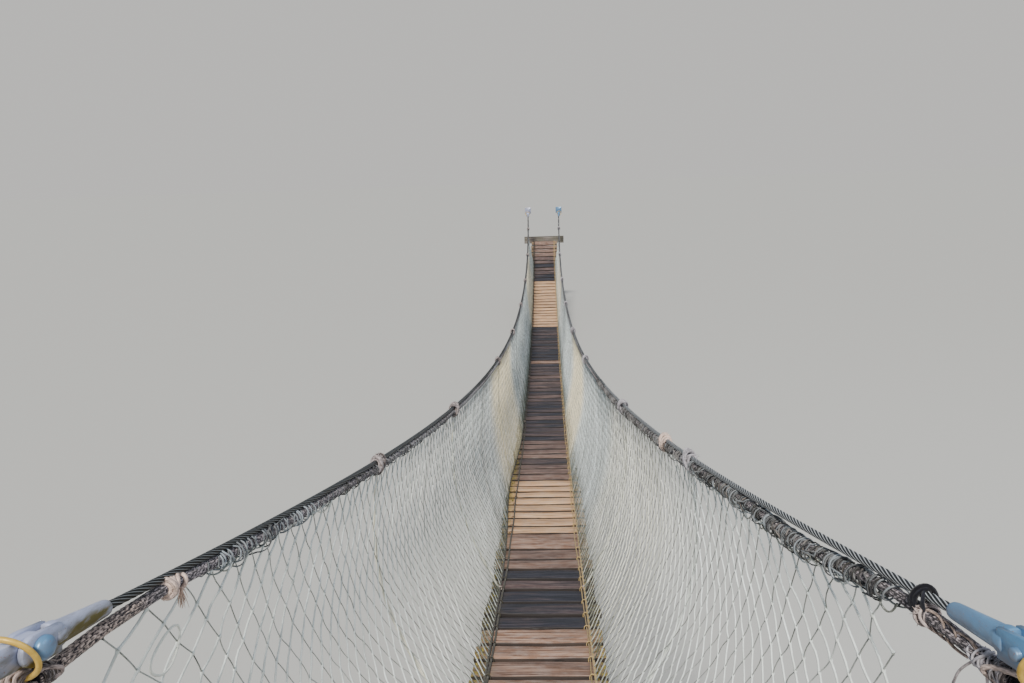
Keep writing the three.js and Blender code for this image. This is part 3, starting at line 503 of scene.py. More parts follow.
def stretched_noise_group():
    """Noise on a coordinate stretched by a scale for each axis, as a mask between two limits: used for
    grain, fibres, stains and dust."""
    tree = bpy.data.node_groups.new("stretched_noise", "ShaderNodeTree")
    for name, kind, value in (
        ("Coordinate", "Vector", (0, 0, 0)), ("Scale", "Vector", (1, 1, 1)), ("Detail", "Float", 4.0),
        ("Low", "Float", 0.35), ("High", "Float", 0.65),
    ):
        socket = tree.interface.new_socket(name=name, in_out="INPUT", socket_type=f"NodeSocket{kind}")
        socket.default_value = value
    tree.interface.new_socket(name="Mask", in_out="OUTPUT", socket_type="NodeSocketFloat")
    given = {socket.name: Signal(tree, socket) for socket in tree.nodes.new("NodeGroupInput").outputs}
    scaled = {0: given["Coordinate"], 1: given["Scale"]}
    place = make(tree, "ShaderNodeVectorMath", scaled, operation="MULTIPLY")
    look = {"Vector": place, "Scale": 1.0, "Detail": given["Detail"], "Roughness": 0.6}
    noise = make(tree, "ShaderNodeTexNoise", look)
    limits = {"Value": noise, "From Min": given["Low"], "From Max": given["High"]}
    mask = make(tree, "ShaderNodeMapRange", limits, clamp=True)
    put(tree, tree.nodes.new("NodeGroupOutput").inputs["Mask"], mask)
    return tree


STRETCHED_NOISE = stretched_noise_group()


class Finish:
    """A material being made. It has a coordinate and a colour that further colours cover."""

    def __init__(self, name, on_object=False):
        self.material = bpy.data.materials.new(name)
        self.material.use_nodes = True
        self.tree = self.material.node_tree
        self.on_object = on_object
        self.place = None

    def value(self, name, output="Fac"):
        return make(self.tree, "ShaderNodeAttribute", {}, output, attribute_name=name)

    def noise(self, scale, low=0.35, high=0.65, detail=4.0):
        if self.place is None and self.on_object:
            self.place = make(self.tree, "ShaderNodeTexCoord", {}, "Object")
        elif self.place is None:
            self.place = self.value("rest", "Vector")
        scale = scale if isinstance(scale, tuple) else (scale,) * 3
        given = {"Coordinate": self.place, "Scale": scale, "Detail": detail, "Low": low, "High": high}
        return make(self.tree, "ShaderNodeGroup", given, node_tree=STRETCHED_NOISE)

    def mix(self, factor, a, b):
        return make(self.tree, "ShaderNodeMix", {0: factor, 6: a, 7: b}, 2, data_type="RGBA")

    def ramp(self, factor, *colours):
        """A run through colours in equal steps."""
        made = make(self.tree, "ShaderNodeValToRGB", {0: factor})
        elements = made.socket.node.color_ramp.elements
        while len(elements) < len(colours):
            elements.new(0.5)
        for k, colour in enumerate(colours):
            elements[k].position = k / (len(colours) - 1)
            elements[k].color = (*colour, 1.0)
        return made

    def cover(self, factor, colour):
        self.colour = self.mix(factor, self.colour, colour)

    def done(self, rough, height=None, distance=0.0, strength=0.0, **fixed):
        """The material, with its roughness, a bump, and values that are the same all over."""
        sockets = self.tree.nodes["Principled BSDF"].inputs
        given = {"Base Color": self.colour, "Roughness": rough}
        given |= {name.replace("_", " "): value for name, value in fixed.items()}
        if height is not None:
            relief = {"Height": height, "Strength": strength, "Distance": distance}
            given["Normal"] = make(self.tree, "ShaderNodeBump", relief)
        for name, value in given.items():
            put(self.tree, sockets[name], value)
        return self.material


def dim(colour, share):
    return tuple(c * share for c in colour)


def board_wood():
    """Weathered boards: long grain and cracks along the board, moss from the board itself, painted sunlight
    and shade from the board's tone and warm attributes, and painted shade on the board's sides.
    """
    look = Finish("weathered_boards_painted_light")
    grain = look.noise((3.0, 90.0, 60.0), 0.3, 0.7, 6.0)
    broad = look.noise((2.2, 14.0, 10.0), 0.3, 0.72, 3.0)
    crack = look.noise((4.0, 240.0, 30.0), 0.60, 0.68, 2.0)
    wear_and_highlight = look.noise((14.0, 30.0, 14.0), 0.42, 0.7, 5.0)
    # Painted light: the dark ramp is a bluish painted shade colour, the cream one a painted sunlit colour,
    # and brown lies between; tone picks between shade and sun, warm between brown and cream
    dark = look.ramp(grain, (0.003, 0.003, 0.006), (0.013, 0.014, 0.023), (0.050, 0.048, 0.066))
    brown = look.ramp(grain, (0.030, 0.014, 0.011), (0.20, 0.100, 0.074), (0.52, 0.31, 0.24))
    sunlit_cream = look.ramp(grain, (0.15, 0.060, 0.020), (0.64, 0.36, 0.17), (0.98, 0.72, 0.44))
    amount = (look.value("tone") + (broad - 0.5) * 0.34).clamped()
    look.colour = look.mix(amount, dark, look.mix(look.value("warm"), brown, sunlit_cream))
    # Pale wear scaled by the painted tone: real wear, and partly a painted highlight on the boards painted
    # sunlit
    look.cover(wear_and_highlight * (amount * 0.5), (0.44, 0.38, 0.36))
    look.cover(crack * 0.8, (0.012, 0.009, 0.009))
    moss = (look.noise(55.0, 0.38, 0.58, 6.0) * look.value("moss")).clamped()
    look.cover(moss, look.ramp(look.noise(160.0), (0.10, 0.085, 0.015), (0.42, 0.33, 0.05)))
    # Painted shade on the board's sides, for the dark gaps between boards
    look.cover(look.value("flank") * 0.93, (0.010, 0.006, 0.005))
    return look.done(grain * 0.25 + 0.55, grain - crack * 1.5 + moss * 1.5, 0.0016, 0.8)


def sill_wood():
    """Timber of the end sills, grain along X."""
    look = Finish("sill_timber", True)
    grain = look.noise((2.5, 70.0, 70.0), 0.3, 0.7, 6.0)
    crack = look.noise((2.0, 60.0, 160.0), 0.6, 0.68, 3.0)
    look.colour = look.ramp(grain, (0.05, 0.045, 0.045), (0.14, 0.12, 0.11), (0.26, 0.23, 0.21))
    look.cover(look.noise(6.0, 0.35, 0.7) * 0.5, (0.07, 0.08, 0.04))
    look.cover(crack * 0.85, (0.012, 0.010, 0.010))
    return look.done(0.85, grain - crack, 0.002, 0.8)


def galvanised(name, base, dirt_and_groove_shade, laid=True):
    """Dull zinc: mottled spangle, dirt patches, rusty specks and, on laid wire, painted shade with dirt in
    the grooves.
    """
    look = Finish(name, not laid)
    mottle = look.noise(60.0, 0.3, 0.7, 3.0)
    look.colour = look.mix(mottle, dim(base, 0.78), base)
    look.cover(look.noise(9.0, 0.5, 0.72) * 0.5, dirt_and_groove_shade)
    look.cover(look.noise(220.0, 0.58, 0.66, 2.0) * 0.35, (0.12, 0.055, 0.02))
    if laid:
        # Painted shade in the grooves between the wires, nearly black, mixed from the dirt colour
        look.cover((look.value("groove") * 22.0).clamped(), dim(dirt_and_groove_shade, 0.05))
    return look.done(mottle * 0.18 + 0.38, mottle, 0.0004, 0.4, Metallic=0.45)


def painted_fitting(name, base, under, rusty, share=1.0):
    """Painted or coated fitting: chalky paint, a grown stain on its underside and worn specks."""
    look = Finish(name, True)
    mottle = look.noise(38.0, 0.3, 0.7, 5.0)
    streak = look.noise((60.0, 14.0, 60.0), 0.42, 0.66, 5.0)
    specks = look.noise(260.0, 0.66, 0.72, 2.0)
    look.colour = look.mix(mottle, dim(base, 0.86), base)
    look.cover(streak * 0.28, dim(base, 0.5))
    look.cover((look.value("under") * ((streak + 0.6) * share)).clamped(), under)
    look.cover(specks * 0.7, rusty)
    return look.done(streak * 0.3 + 0.32, mottle - specks, 0.0005, 0.5, Metallic=0.25)


def fibre(name, dark, light, warm, algae, fleck, algae_share, groove_shade_gain=2.2):
    """Rope and twine: fibres along the strand, flecks, painted shade in the grooves, algae in patches; tone
    lightens a strand, and the attribute warm turns its light colour into the warm one."""
    look = Finish(name)
    hair = look.noise((420.0, 420.0, 90.0), 0.35, 0.65, 3.0)
    amount = (look.value("tone") + (hair - 0.5) * fleck).clamped()
    look.colour = look.mix(amount, dark, look.mix(look.value("warm"), light, warm) if warm else light)
    look.cover(look.noise((25.0, 25.0, 12.0), 0.35, 0.68) * algae_share, algae)
    # Painted shade in the grooves between strands
    look.cover((look.value("groove") * groove_shade_gain).clamped(), dim(dark, 0.25))
    return look.done(0.92, hair, 0.0006, 0.8, Sheen_Weight=0.15, Specular_IOR_Level=0.2)


def moss_growth():
    look = Finish("moss")
    tone = look.value("tone")
    look.colour = look.ramp(tone, (0.045, 0.055, 0.010), (0.20, 0.17, 0.025), (0.50, 0.40, 0.07))
    return look.done(0.95)


BOARDS, SILLS, MOSS = board_wood(), sill_wood(), moss_growth()
WIRE = galvanised("wire_rope", (0.92, 0.96, 1.0), (0.50, 0.54, 0.60))
DARK_WIRE = galvanised("dark_wire_rope", (0.27, 0.29, 0.31), (0.10, 0.10, 0.08))
STEEL = galvanised("stop_steel", (0.40, 0.43, 0.46), (0.20, 0.19, 0.17), False)
LEFT_PAINT, RIGHT_PAINT, YELLOW = (
    painted_fitting(*row) for row in (
        ("left_socket_paint", (0.46, 0.51, 0.72), (0.10, 0.082, 0.020), (0.24, 0.09, 0.025)),
        ("right_socket_paint", (0.10, 0.26, 0.47), (0.30, 0.16, 0.05), (0.30, 0.12, 0.03), 0.35),
        ("yellow_coat", (0.80, 0.52, 0.10), (0.34, 0.21, 0.04), (0.15, 0.07, 0.03)),
    )
)
# Name, dark, light, warm and algae colours, flecks, share of algae, and for the head rope the strength of
# the painted shade in its grooves
HEAD_ROPE, NET_TWINE, WRAP_TWINE, KNOT_ROPE, DARK_ROPE, TIE_ROPE, GOLD_TWINE = (
    fibre(*row) for row in (
        ("head_rope", (0.020, 0.018, 0.028), (0.66, 0.58, 0.62), (0.80, 0.60, 0.48),
         (0.08, 0.08, 0.05), 1.7, 0.2, 8.0),
        ("net_twine", (0.022, 0.028, 0.026), (0.84, 0.94, 1.0), (0.98, 0.84, 0.55),
         (0.12, 0.14, 0.05), 0.30, 0.35),
        ("wrap_twine", (0.014, 0.014, 0.018), (0.42, 0.48, 0.54), (0.42, 0.30, 0.22),
         (0.08, 0.07, 0.04), 0.45, 0.25),
        ("knot_rope", (0.030, 0.024, 0.034), (0.52, 0.50, 0.56), (0.88, 0.64, 0.52),
         (0.16, 0.13, 0.05), 0.8, 0.3),
        ("dark_rope", (0.006, 0.005, 0.006), (0.075, 0.065, 0.06), None, (0.10, 0.09, 0.02), 0.6, 0.35),
        ("black_tie", (0.003, 0.003, 0.006), (0.030, 0.032, 0.050), None, (0.012, 0.012, 0.014), 0.5, 0.2),
        ("gold_twine", (0.20, 0.12, 0.04), (0.75, 0.54, 0.26), None, (0.34, 0.28, 0.05), 0.5, 0.35),
    )
)


def board_rows():
    """Start and end along the deck of each board, in the order of its sawn pitches."""
    y = np.linspace(*DECK_ENDS, 9000)
    s = arc_length(points(0, y, deck_top(y)))
    i = np.arange(PLANK_COUNT)
    pitches = np.array(PLANK_PITCHES)[(i + FIRST_PITCH) % len(PLANK_PITCHES)]
    ends = np.concatenate([[0], np.cumsum(np.where(i == WIDE_PLANK, WIDE_PITCH, pitches))])
    ends = ends * s[-1] / ends[-1]
    return np.interp(ends, s, y), np.diff(ends)


def moss_share(y, side):
    """How mossy the board ends are along the bridge: thick in a few stretches, thin elsewhere."""
    left = 0.45 + 0.75 * bell(y, 2.6, 0.45) + 0.8 * bell(y, 5.8, 1.5)
    right = 0.35 + 0.75 * bell(y, 2.8, 0.4) + 0.6 * bell(y, 6.3, 1.4)
    return np.where(np.asarray(side) < 0, left, right)


def deck_boards():
    """Boards as rounded rectangles carried across the bridge: the section's corners are rounded, its
    edges wander by slow waves, its top is cupped, and each board sits a little askew."""
    edges, pitches = board_rows()
    x_share = np.concatenate([[-1, -0.995, -0.985], np.linspace(-0.95, 0.95, 13), [0.985, 0.995, 1]])
    shrink = np.interp(np.abs(x_share), [0, 0.985, 0.995, 1.0], [0, 0, 0.0016, 0.004])[:, None]
    for bay in range(PLANK_COUNT // PLANKS_PER_BAY):
        form = Form()
        for i in range(bay * PLANKS_PER_BAY, (bay + 1) * PLANKS_PER_BAY):
            y = (edges[i] + edges[i + 1]) / 2
            wider, thinner, longer, shift, askew, tilt, lift = rng.uniform(PLANK_LEAST, PLANK_MOST)
            half = (pitches[i] - PLANK_GAP) / 2 + wider
            thick = PLANK_THICKNESS * thinner
            outline = rounded_rectangle((-half, -thick), (half, 0), PLANK_EDGE_R, 3)
            x = (x_share * (PLANK_LENGTH / 2 + longer))[:, None]
            along = outline[:, 0] - np.sign(outline[:, 0]) * shrink
            high = outline[:, 1]
            # Painted shade: the board's sides and underside, from just below its top, are marked to be
            # painted nearly black, standing for the shade in the gaps between boards
            flank = held((-high - 0.0008) / 0.002) + 0 * x
            top = high > -thick / 2
            high = high + np.where(top, -shrink, shrink)
            phase = rng.uniform(0, 6.28, 6)
            wander = 0.0018 * np.sin(11 * x + phase[0]) + 0.0011 * np.sin(29 * x + phase[1])
            other = 0.0018 * np.sin(9 * x + phase[2]) + 0.0011 * np.sin(31 * x + phase[3])
            along = along + np.where(along > 0, wander, other)
            high = high + rng.uniform(-0.0012, 0.0018) * (along / half) ** 2 * top
            high = high + 0.0009 * np.sin(13 * x + phase[4])
            across = x + shift + rng.uniform(-0.004, 0.004) * along / half * np.sign(x)
            turned = along + askew * across
            lifted = high + lift + tilt * across * 0.3
            slope = deck_slope(y)
            c = 1 / math.hypot(1, slope)
            sine = slope * c
            p = points(across, y + turned * c - lifted * sine, deck_top(y) + turned * sine + lifted * c)
            # Painted sunlight and shade: each board takes the pale and warm of its stretch, plus a random
            # tone of its own
            _, pale, warm = BOARD_SUN_AND_SHADE[np.searchsorted(BOARD_SUN_AND_SHADE[:, 0], y)]
            form.add(
                p, [g[:, ::-1] for g in tube_faces(1, *along.shape)],
                rest=np.stack([across + 3.1 * i, along + 0.7 * i, high], -1),
                tone=held(pale + rng.normal(0, 0.10)), warm=warm, flank=flank,
                moss=held((np.abs(across) - 0.225) / 0.06) * moss_share(y, np.sign(across)),
            )
        form.build(f"deck_boards_{bay + 1}", BOARDS, "planks", f"deck_bay_{bay + 1}")


def moss_tufts():
    """Tufts of moss at the board ends: short pointed stalks at random places, as many as moss_share asks
    for, each leaning its own way off the boards."""
    r = np.random.default_rng(5)
    count = TUFTS_TRIED
    y = r.uniform(DECK_ENDS[0] + 0.05, DECK_ENDS[1] - 0.05, count)
    side = np.where(r.uniform(size=count) < 0.5, -1, 1)
    x = MOSS_FROM + np.abs(r.normal(0, MOSS_SPREAD, count))
    edges, _ = board_rows()
    on_board = np.abs(y[:, None] - edges).min(1) > PLANK_GAP / 2 + 0.003
    patch = np.sin(31 * y + 3 * side) + np.sin(12.7 * y - side)
    wanted = r.uniform(size=count) * 1.25 < moss_share(y, side) * (0.55 + 0.4 * patch)
    keep = on_board & (x < MOSS_TO) & wanted
    y, x, side = y[keep], x[keep], side[keep]
    foot = points(side * x, y, deck_top(y)) - slope_up(y) * 0.001
    lean = r.normal(0, 0.6, (len(y), 3)) + slope_up(y)
    tall = r.uniform(0.004, 0.011, len(y))[:, None]
    path = foot[:, None] + np.linspace(0, 1, 3)[None, :, None] * (tall * unit(lean))[:, None]
    wide = tall * np.array([[0.32, 0.30, 0.06]])
    form = Form()
    add_tubes(form, path, wide, 4, (0.3, 1, 0.1), tone=r.uniform(0.1, 1, (len(y), 1, 1)))
    form.build("moss_tufts", MOSS, "planks")


def cables():
    """Wire ropes: eight outer wires laid round the axis as a right-hand helix. One side of the section
    is on the crest of each wire and one in each groove, with a flank between them near the viewer."""
    for side, name in SIDES:
        for kind, line, ends, near, far in (
            ("hand", rail_line, (RAIL_NEAR_END[side], RAIL_FAR_END), (0.006, 0.011, 4), (0.025, 2)),
            ("foot", foot_cable_line, (FOOT_END, SPAN - FOOT_END), (0.035, 0.035, 2), (0.040, 2)),
        ):
            form = Form()
            for y, length, per_wire in two_stretches(partial(line, side), *ends, near, far):
                sides = per_wire * OUTER_WIRES
                add_tubes(
                    form, line(side, y), CABLE_R, sides, Z_AXIS, twist=-TURN / WIRE_LAY, start=length,
                    shape=lambda a, s, shift=np.pi / sides: strand_profile(a - shift, OUTER_WIRES),
                )
            wire = DARK_WIRE if side < 0 else WIRE
            form.build(f"{kind}_wire_rope_{name}", wire, "wire_rope", f"{kind}_cable_{name}")


def head_ropes():
    """Plaited head ropes with worn yarns, slimmer on the right where the twine is thickest round them."""
    for side, name in SIDES:
        form = Form()
        for y, length, sides in two_stretches(
            partial(head_line, side), *HEAD_ROPE_ENDS.values(), (0.0031, 0.0062, 24), (0.016, 12)
        ):
            path = head_line(side, y)
            s = arc_length(path) + length
            wobble = 0.0016 * np.sin(s * 7.0)[:, None] * slope_up(y)
            fleck = 0.24 + 0.12 * np.sin(s * 19.0) * np.sin(s * 4.3)
            fleck += (0.20 if side < 0 else -0.12) * held((1.13 - y) / 0.03)
            warm = held((1.13 - y) / 0.05) * (0.7 if side < 0 else 0.1)
            slim = held((y - 1.08) / 0.06) * held((2.6 - y) / 0.3) * (0.22 if side > 0 else 0)
            radius = HEAD_ROPE_R * (1 - slim)[None]
            add_tubes(
                form, path + wobble, radius, sides, Z_AXIS, shape=plait, start=length,
                tone=fleck[None, :, None], warm=warm[None, :, None],
            )
        form.build(f"plaited_head_rope_{name}", HEAD_ROPE, "head_rope", f"head_rope_{name}")


def rope_coil(line, start, end, pitch, radius, per_turn, seed, swell, droop, hand):
    """Points of twine wound round a line, once in each pitch. The pitch drifts, and each turn has its own
    slack, which widens it by swell and lets it hang by droop."""
    y = np.linspace(start, end, 6000)
    s = arc_length(line(y))
    r = np.random.default_rng(seed)
    turn = s / pitch + np.interp(s, np.linspace(0, s[-1], 60), r.normal(0, 0.8, 60))
    turn = np.maximum.accumulate(turn)
    count = np.linspace(turn[0], turn[-1], max(int((turn[-1] - turn[0]) * per_turn), 8))
    centre = line(np.interp(count, turn + np.arange(len(turn)) * 1e-9, y))
    turns = np.arange(turn[0] - 1, turn[-1] + 2)
    slack = np.interp(count, turns, r.uniform(0, 1, len(turns)))
    angle = TURN * count * hand
    t = tangents(centre)
    across, up = square_to(t)
    reach = radius * (1 + swell * slack)
    p = ellipse(centre, angle, across, reach, up, reach) - (droop * slack)[:, None] * up
    return p + (0.4 * pitch * np.sin(angle * 0.5 + seed) * swell * slack)[:, None] * t, t


def head_twines():
    """Twine wound round the head ropes: one even coil along the bridge, and loose ones near the viewer."""
    for side, name in SIDES:
        form = Form()
        for k, coil in enumerate((EVEN_COIL, *LOOSE_COILS[side])):
            start, end, pitch, over, per_turn, swell, droop, hand, tone, warm = coil
            radius = HEAD_ROPE_R + TWINE_R * 0.8 + over
            path, axis = rope_coil(
                partial(head_line, side), start, end, pitch, radius, per_turn, 11 + side + 5 * k,
                swell, droop, hand,
            )
            shade = np.clip(tone + 0.20 * np.sin(np.arange(len(path)) * (0.031 + 0.007 * k) + k), 0.02, 1)
            thick = TWINE_R * (0.9 if k else 0.8)
            add_tubes(form, path, thick, 4, axis, tone=shade[None, :, None], warm=warm)
        form.build(f"head_twine_{name}", WRAP_TWINE, "net")
        swags = Form()
        twine_swags(swags, side, *SWAGS[side])
        swags.build(f"twine_swags_{name}", NET_TWINE, "net")


def twine_swags(form, side, start, end, count):
    """Slack twine hanging in bights under the head rope: each a parabola between two points of the rope."""
    r = np.random.default_rng(61 + side)
    t = np.linspace(0, 1, 11)[None]
    begin = np.linspace(start, end, count)[:, None] + r.normal(0, 0.006, (count, 1))
    reach = r.uniform(0.045, 0.11, (count, 1))
    fall = r.uniform(0.004, 0.030, (count, 1))
    y = begin + reach * t
    lean = r.uniform(-0.9, 0.9, (count, 1))
    clear = HEAD_ROPE_R + 0.002
    radius = clear + fall * 4 * t * (1 - t)
    out = -side * np.sin(lean) * clear
    path = head_line(side, y) - slope_up(y) * (radius * np.cos(lean))[..., None] + out[..., None] * X_AXIS
    tone, warm = r.uniform(0.15, 0.75, (count, 1, 1)), r.uniform(0, 0.5, (count, 1, 1))
    add_tubes(form, path, TWINE_R * 0.95, 4, X_AXIS, tone=tone, warm=warm)


def painted_net_light(side, y):
    """Painted sunlight and shade of the net at y: its brightness and warmth."""
    k = 1 if side < 0 else 3
    return [np.interp(y, NET_SUN_AND_SHADE[:, 0], NET_SUN_AND_SHADE[:, c]) for c in (k, k + 1)]


def net_columns(side):
    """Places along the bridge of the net's half columns: full meshes are 60 mm wide, and wider towards
    the near end, where the net is pulled out, by an exponential."""
    y = np.linspace(NET_NEAR_END[side], NET_FAR_END, 6000)
    width = NET_MESH_WIDTH + NET_MESH_SPREAD * np.exp(-(y - NET_SPREAD_FROM) / NET_SPREAD_LENGTH)
    s = arc_length(rail_line(side, y))
    count = np.concatenate([[0], np.cumsum(np.diff(s) / (width[1:] + width[:-1]))]) * 4
    n = int(round(count[-1])) // 2 * 2
    return np.interp(np.linspace(0, count[-1], n + 1), count, y)


def net_knots(side, r, y, v, inside):
    """Knots of a net and their outward directions: a staggered grid over its surface, moved a little by
    waves and at random, and drawn towards the hangers at the head."""
    loose = 1 + 1.6 * np.exp(-(y - NET_SPREAD_FROM) / 0.45)
    y = y + r.normal(0, 0.0020, y.shape) * loose
    y = y + 0.007 * loose * np.sin(y * 9.1 + 1.3 * side) * np.sin(v * 5.0)
    for at in HANGERS_AT:
        y = y - 0.55 * (y - at) * bell(y, at, 0.09) * v**5
    y = np.clip(y, NET_NEAR_END[side], NET_FAR_END)
    v = v + r.normal(0, 0.003, v.shape) * inside * loose
    out = net_outward(side, y, held(v))
    wave = 0.006 * np.sin(3.7 * y + 4.0 * v) * np.sin(np.pi * v)
    wave = wave + r.normal(0, 0.0011, v.shape) * inside * loose
    return net_point(side, y, held(v)) + out * wave[..., None], out, v


def nets():
    """Knotted nets: two families of strands run through the knots from foot to head, thin between knots
    and thick in them. One slack loop hangs in the left net."""
    last_row = NET_HALF_ROWS
    for side, name in SIDES:
        y_col = net_columns(side)
        columns = len(y_col)
        i, j = np.indices((columns, last_row + 1))
        r = np.random.default_rng(23 + side)
        inside = ((j > 0) & (j < last_row)).astype(float)
        knot, out, height = net_knots(side, r, y_col[i], np.linspace(0, 1, last_row + 1)[j], inside)
        panel = np.arange(columns) * NET_PANELS // columns
        line_tone = r.normal(0, 0.11, columns + 2 * last_row + 2)
        for p in range(NET_PANELS):
            form = Form()
            shares = np.array([0.0, 0.08, 0.35, 0.65, 0.92, 1.0] if p == 0 else [0.0, 0.10, 0.90, 1.0])
            for step, thick, knotted, light, sides in NET_FAMILIES:
                strand = ((i + j) % 2 == 0) & (j < last_row) & (i + step >= 0) & (i + step < columns)
                a_i, a_j = np.nonzero(strand)
                keep = panel[np.minimum(a_i, a_i + step)] == p
                a_i, a_j = a_i[keep], a_j[keep]
                begin, end = knot[a_i, a_j], knot[a_i + step, a_j + 1]
                part = shares if step > 0 or p == 0 else shares[[0, -1]]
                path = begin[:, None] + (end - begin)[:, None] * part[None, :, None]
                ref = out[a_i, a_j][:, None]
                path[:, 2:-2] += ref * r.normal(0, 0.0015, len(begin))[:, None, None]
                # Painted sunlight and shade of the net along the bridge
                painted_brightness, warm = painted_net_light(side, begin[:, 1])
                own = line_tone[(a_i - step * a_j) % len(line_tone)] + r.normal(0, 0.06, len(begin))
                # Darker towards the foot of the net
                foot_darkening = 0.55 * held(1 - height[a_i, a_j] / 0.2)
                # light is the family's painted lightness: the second family is painted darker as shade
                tone = np.clip(painted_brightness + light + own - foot_darkening, 0.02, 1)[:, None, None]
                size = np.full(len(part), TWINE_R * thick)
                if len(part) > 2:
                    size[[0, -1]] = TWINE_R * knotted
                looks = {"tone": tone, "warm": warm[:, None, None]}
                add_tubes(form, path, size, sides[p > 2], ref, caps=False, **looks)
            if side < 0 and p == 0:
                a = circle(26)
                loop_v = 0.884 + 0.041 * np.sin(a) + 0.006 * np.sin(2 * a)
                loop = net_point(side, 1.181 + 0.042 * np.cos(a) + 0.010 * np.sin(a), loop_v)
                add_tubes(form, loop, TWINE_R * 1.2, 5, X_AXIS, closed=True, tone=0.97, warm=0.35)
            form.build(f"knotted_net_{name}_{p + 1}", NET_TWINE, "net", f"net_panel_{name}_{p + 1}")


def bundle_axes(side, y):
    """Centre of hand cable and head rope together, and their directions along, across and up."""
    t = unit(rail_line(side, y + 0.01) - rail_line(side, y - 0.01))
    across, up = square_to(t)
    return rail_line(side, y) - up * BUNDLE_DROP, t, across, up


def rope_axes(side, y):
    """The same directions at the head rope alone."""
    return head_line(side, y), *bundle_axes(side, y)[1:]


def knot_tangle(
    form, axes, long, wide, high, loops, rope_r, seed, tone, warm, frays=0, fray_length=0.012, sides=6,
    skew=0.42,
):
    """A bulky knot: closed rope loops round a bundle, each an ellipse with its own size, tilt and place
    along it, and frayed yarn ends that curl away by a square law."""
    centre, along, across, up = axes
    r = np.random.default_rng(seed)
    a = circle(22)
    for k in range(loops):
        at = (k + 0.5) / loops - 0.5 + r.normal(0, 0.03)
        lean, turn = r.normal(0, skew, 2)
        size = r.uniform(1.0, 1.3) * (1.08 - 0.5 * (2 * at) ** 2)
        x, z = wide * size * np.cos(a), high * size * np.sin(a)
        y = long * at + lean * x + turn * z + 0.003 * np.sin(2 * a + k)
        path = ellipse(centre + y[:, None] * along, a, across, wide * size, up, high * size)
        shade = held(tone + r.normal(0, 0.16))
        thick = rope_r * r.uniform(0.8, 1.15)
        add_tubes(form, path, thick, sides, along, closed=True, tone=shade, warm=warm)
    if frays:
        b = r.uniform(0, TURN, frays)
        start = centre + r.uniform(-0.5, 0.5, frays)[:, None] * long * along
        start = ellipse(start, b, across, wide, up, high)
        out = unit(ellipse(0, b, across, 1, up, 1) + r.normal(0, 0.6, (frays, 3)))[:, None]
        curl = r.normal(0, 0.4, (frays, 1, 3))
        t = np.linspace(0, 1, 5)[None, :, None]
        length = fray_length * r.uniform(0.4, 1.3, (frays, 1, 1))
        path = start[:, None] + length * (t * out + t**2 * curl)
        size = np.array([0.0011, 0.0010, 0.0009, 0.0007, 0.0004])
        add_tubes(form, path, size, 3, unit(np.cross(out, curl)), tone=held(tone + 0.2), warm=warm)


def hair_tail(form, start, count, length, seed, tone, warm):
    """Loose yarns hanging from a knot: each falls by the square of its way and leans its own way."""
    r = np.random.default_rng(seed)
    t = np.linspace(0, 1, 6)[None, :, None]
    lean = r.normal(0, 0.16, (count, 1, 3)) * (1, 1, 0)
    long = length * r.uniform(0.6, 1.15, (count, 1, 1))
    path = start + long * (t * lean - (0.35 * t + 0.65 * t**2) * Z_AXIS)
    path = path + r.normal(0, 0.0015, (count, 1, 3))
    size = np.array([0.0012, 0.0011, 0.0010, 0.0009, 0.0007, 0.0004])
    add_tubes(form, path, size, 3, Y_AXIS, tone=tone, warm=warm)


def near_end_ties(form, tie):
    """Right near end: a dark tie of three turns round cable and rope, brown yarn rings laid along the rope,
    and pale twine knots under the socket."""
    _, along, across, up = bundle_axes(1, 1.060)
    axes = (rail_line(1, 1.060) - up * 0.010, along, across, up)
    knot_tangle(tie, axes, 0.020, 0.0125, 0.0190, 3, 0.0040, 12, 0.02, 0.0)
    a = circle(28)
    for at, half, high, tone in YARN_RINGS:
        centre, along, across, up = rope_axes(1, at)
        bulge = (0.0045 + 0.004 * np.cos(a) ** 2)[:, None]
        path = ellipse(centre, a, along, half, up, high) - bulge * across
        add_tubes(form, path, 0.0026, 5, across, closed=True, tone=tone, warm=0.9)
    for at, size, tone, loops, seed in NEAR_KNOTS:
        warm = 0.4 if seed == 31 else 0.0
        axes = rope_axes(1, at)
        knot_tangle(form, axes, 0.020, size, size, loops, 0.0024, seed, tone, warm, 14, 0.010, 5)
    for at, foot_at, fall, lean in LOOSE_ENDS:
        start = head_line(1, at) - axes[2] * 0.012
        end = head_line(1, foot_at) - fall * Z_AXIS - axes[2] * 0.004
        middle = (start + end) / 2 + (0.004 * lean, 0.004, 0)
        add_tubes(form, smooth_path([start, middle, end], 9), TWINE_R, 5, X_AXIS, tone=0.7, warm=0.2)


def fitting_frame(end, side):
    """Pin centre, direction of the cable leaving it, directions across and up, and 1 or -1 for inward."""
    inward = 1 if end == "near" else -1
    start = rail_line(side, RAIL_NEAR_END[side] if end == "near" else RAIL_FAR_END)
    along = unit(rail_line(side, STATION[end]) - start)
    return start - along * SOCKET_LENGTH, along, *square_to(along), inward


def ring_frame(end, side):
    """Centre and axis of a head rope's ring, askew over the fork and drawn outward, and its way down."""
    pin, along, across, up, inward = fitting_frame(end, side)
    axes = np.stack([across * side * inward, along, up])
    axis = unit(np.array(RING_AXIS) @ axes)
    return pin + np.array(RING_CENTRE) @ axes, axis, unit(-up + (up @ axis) * axis)


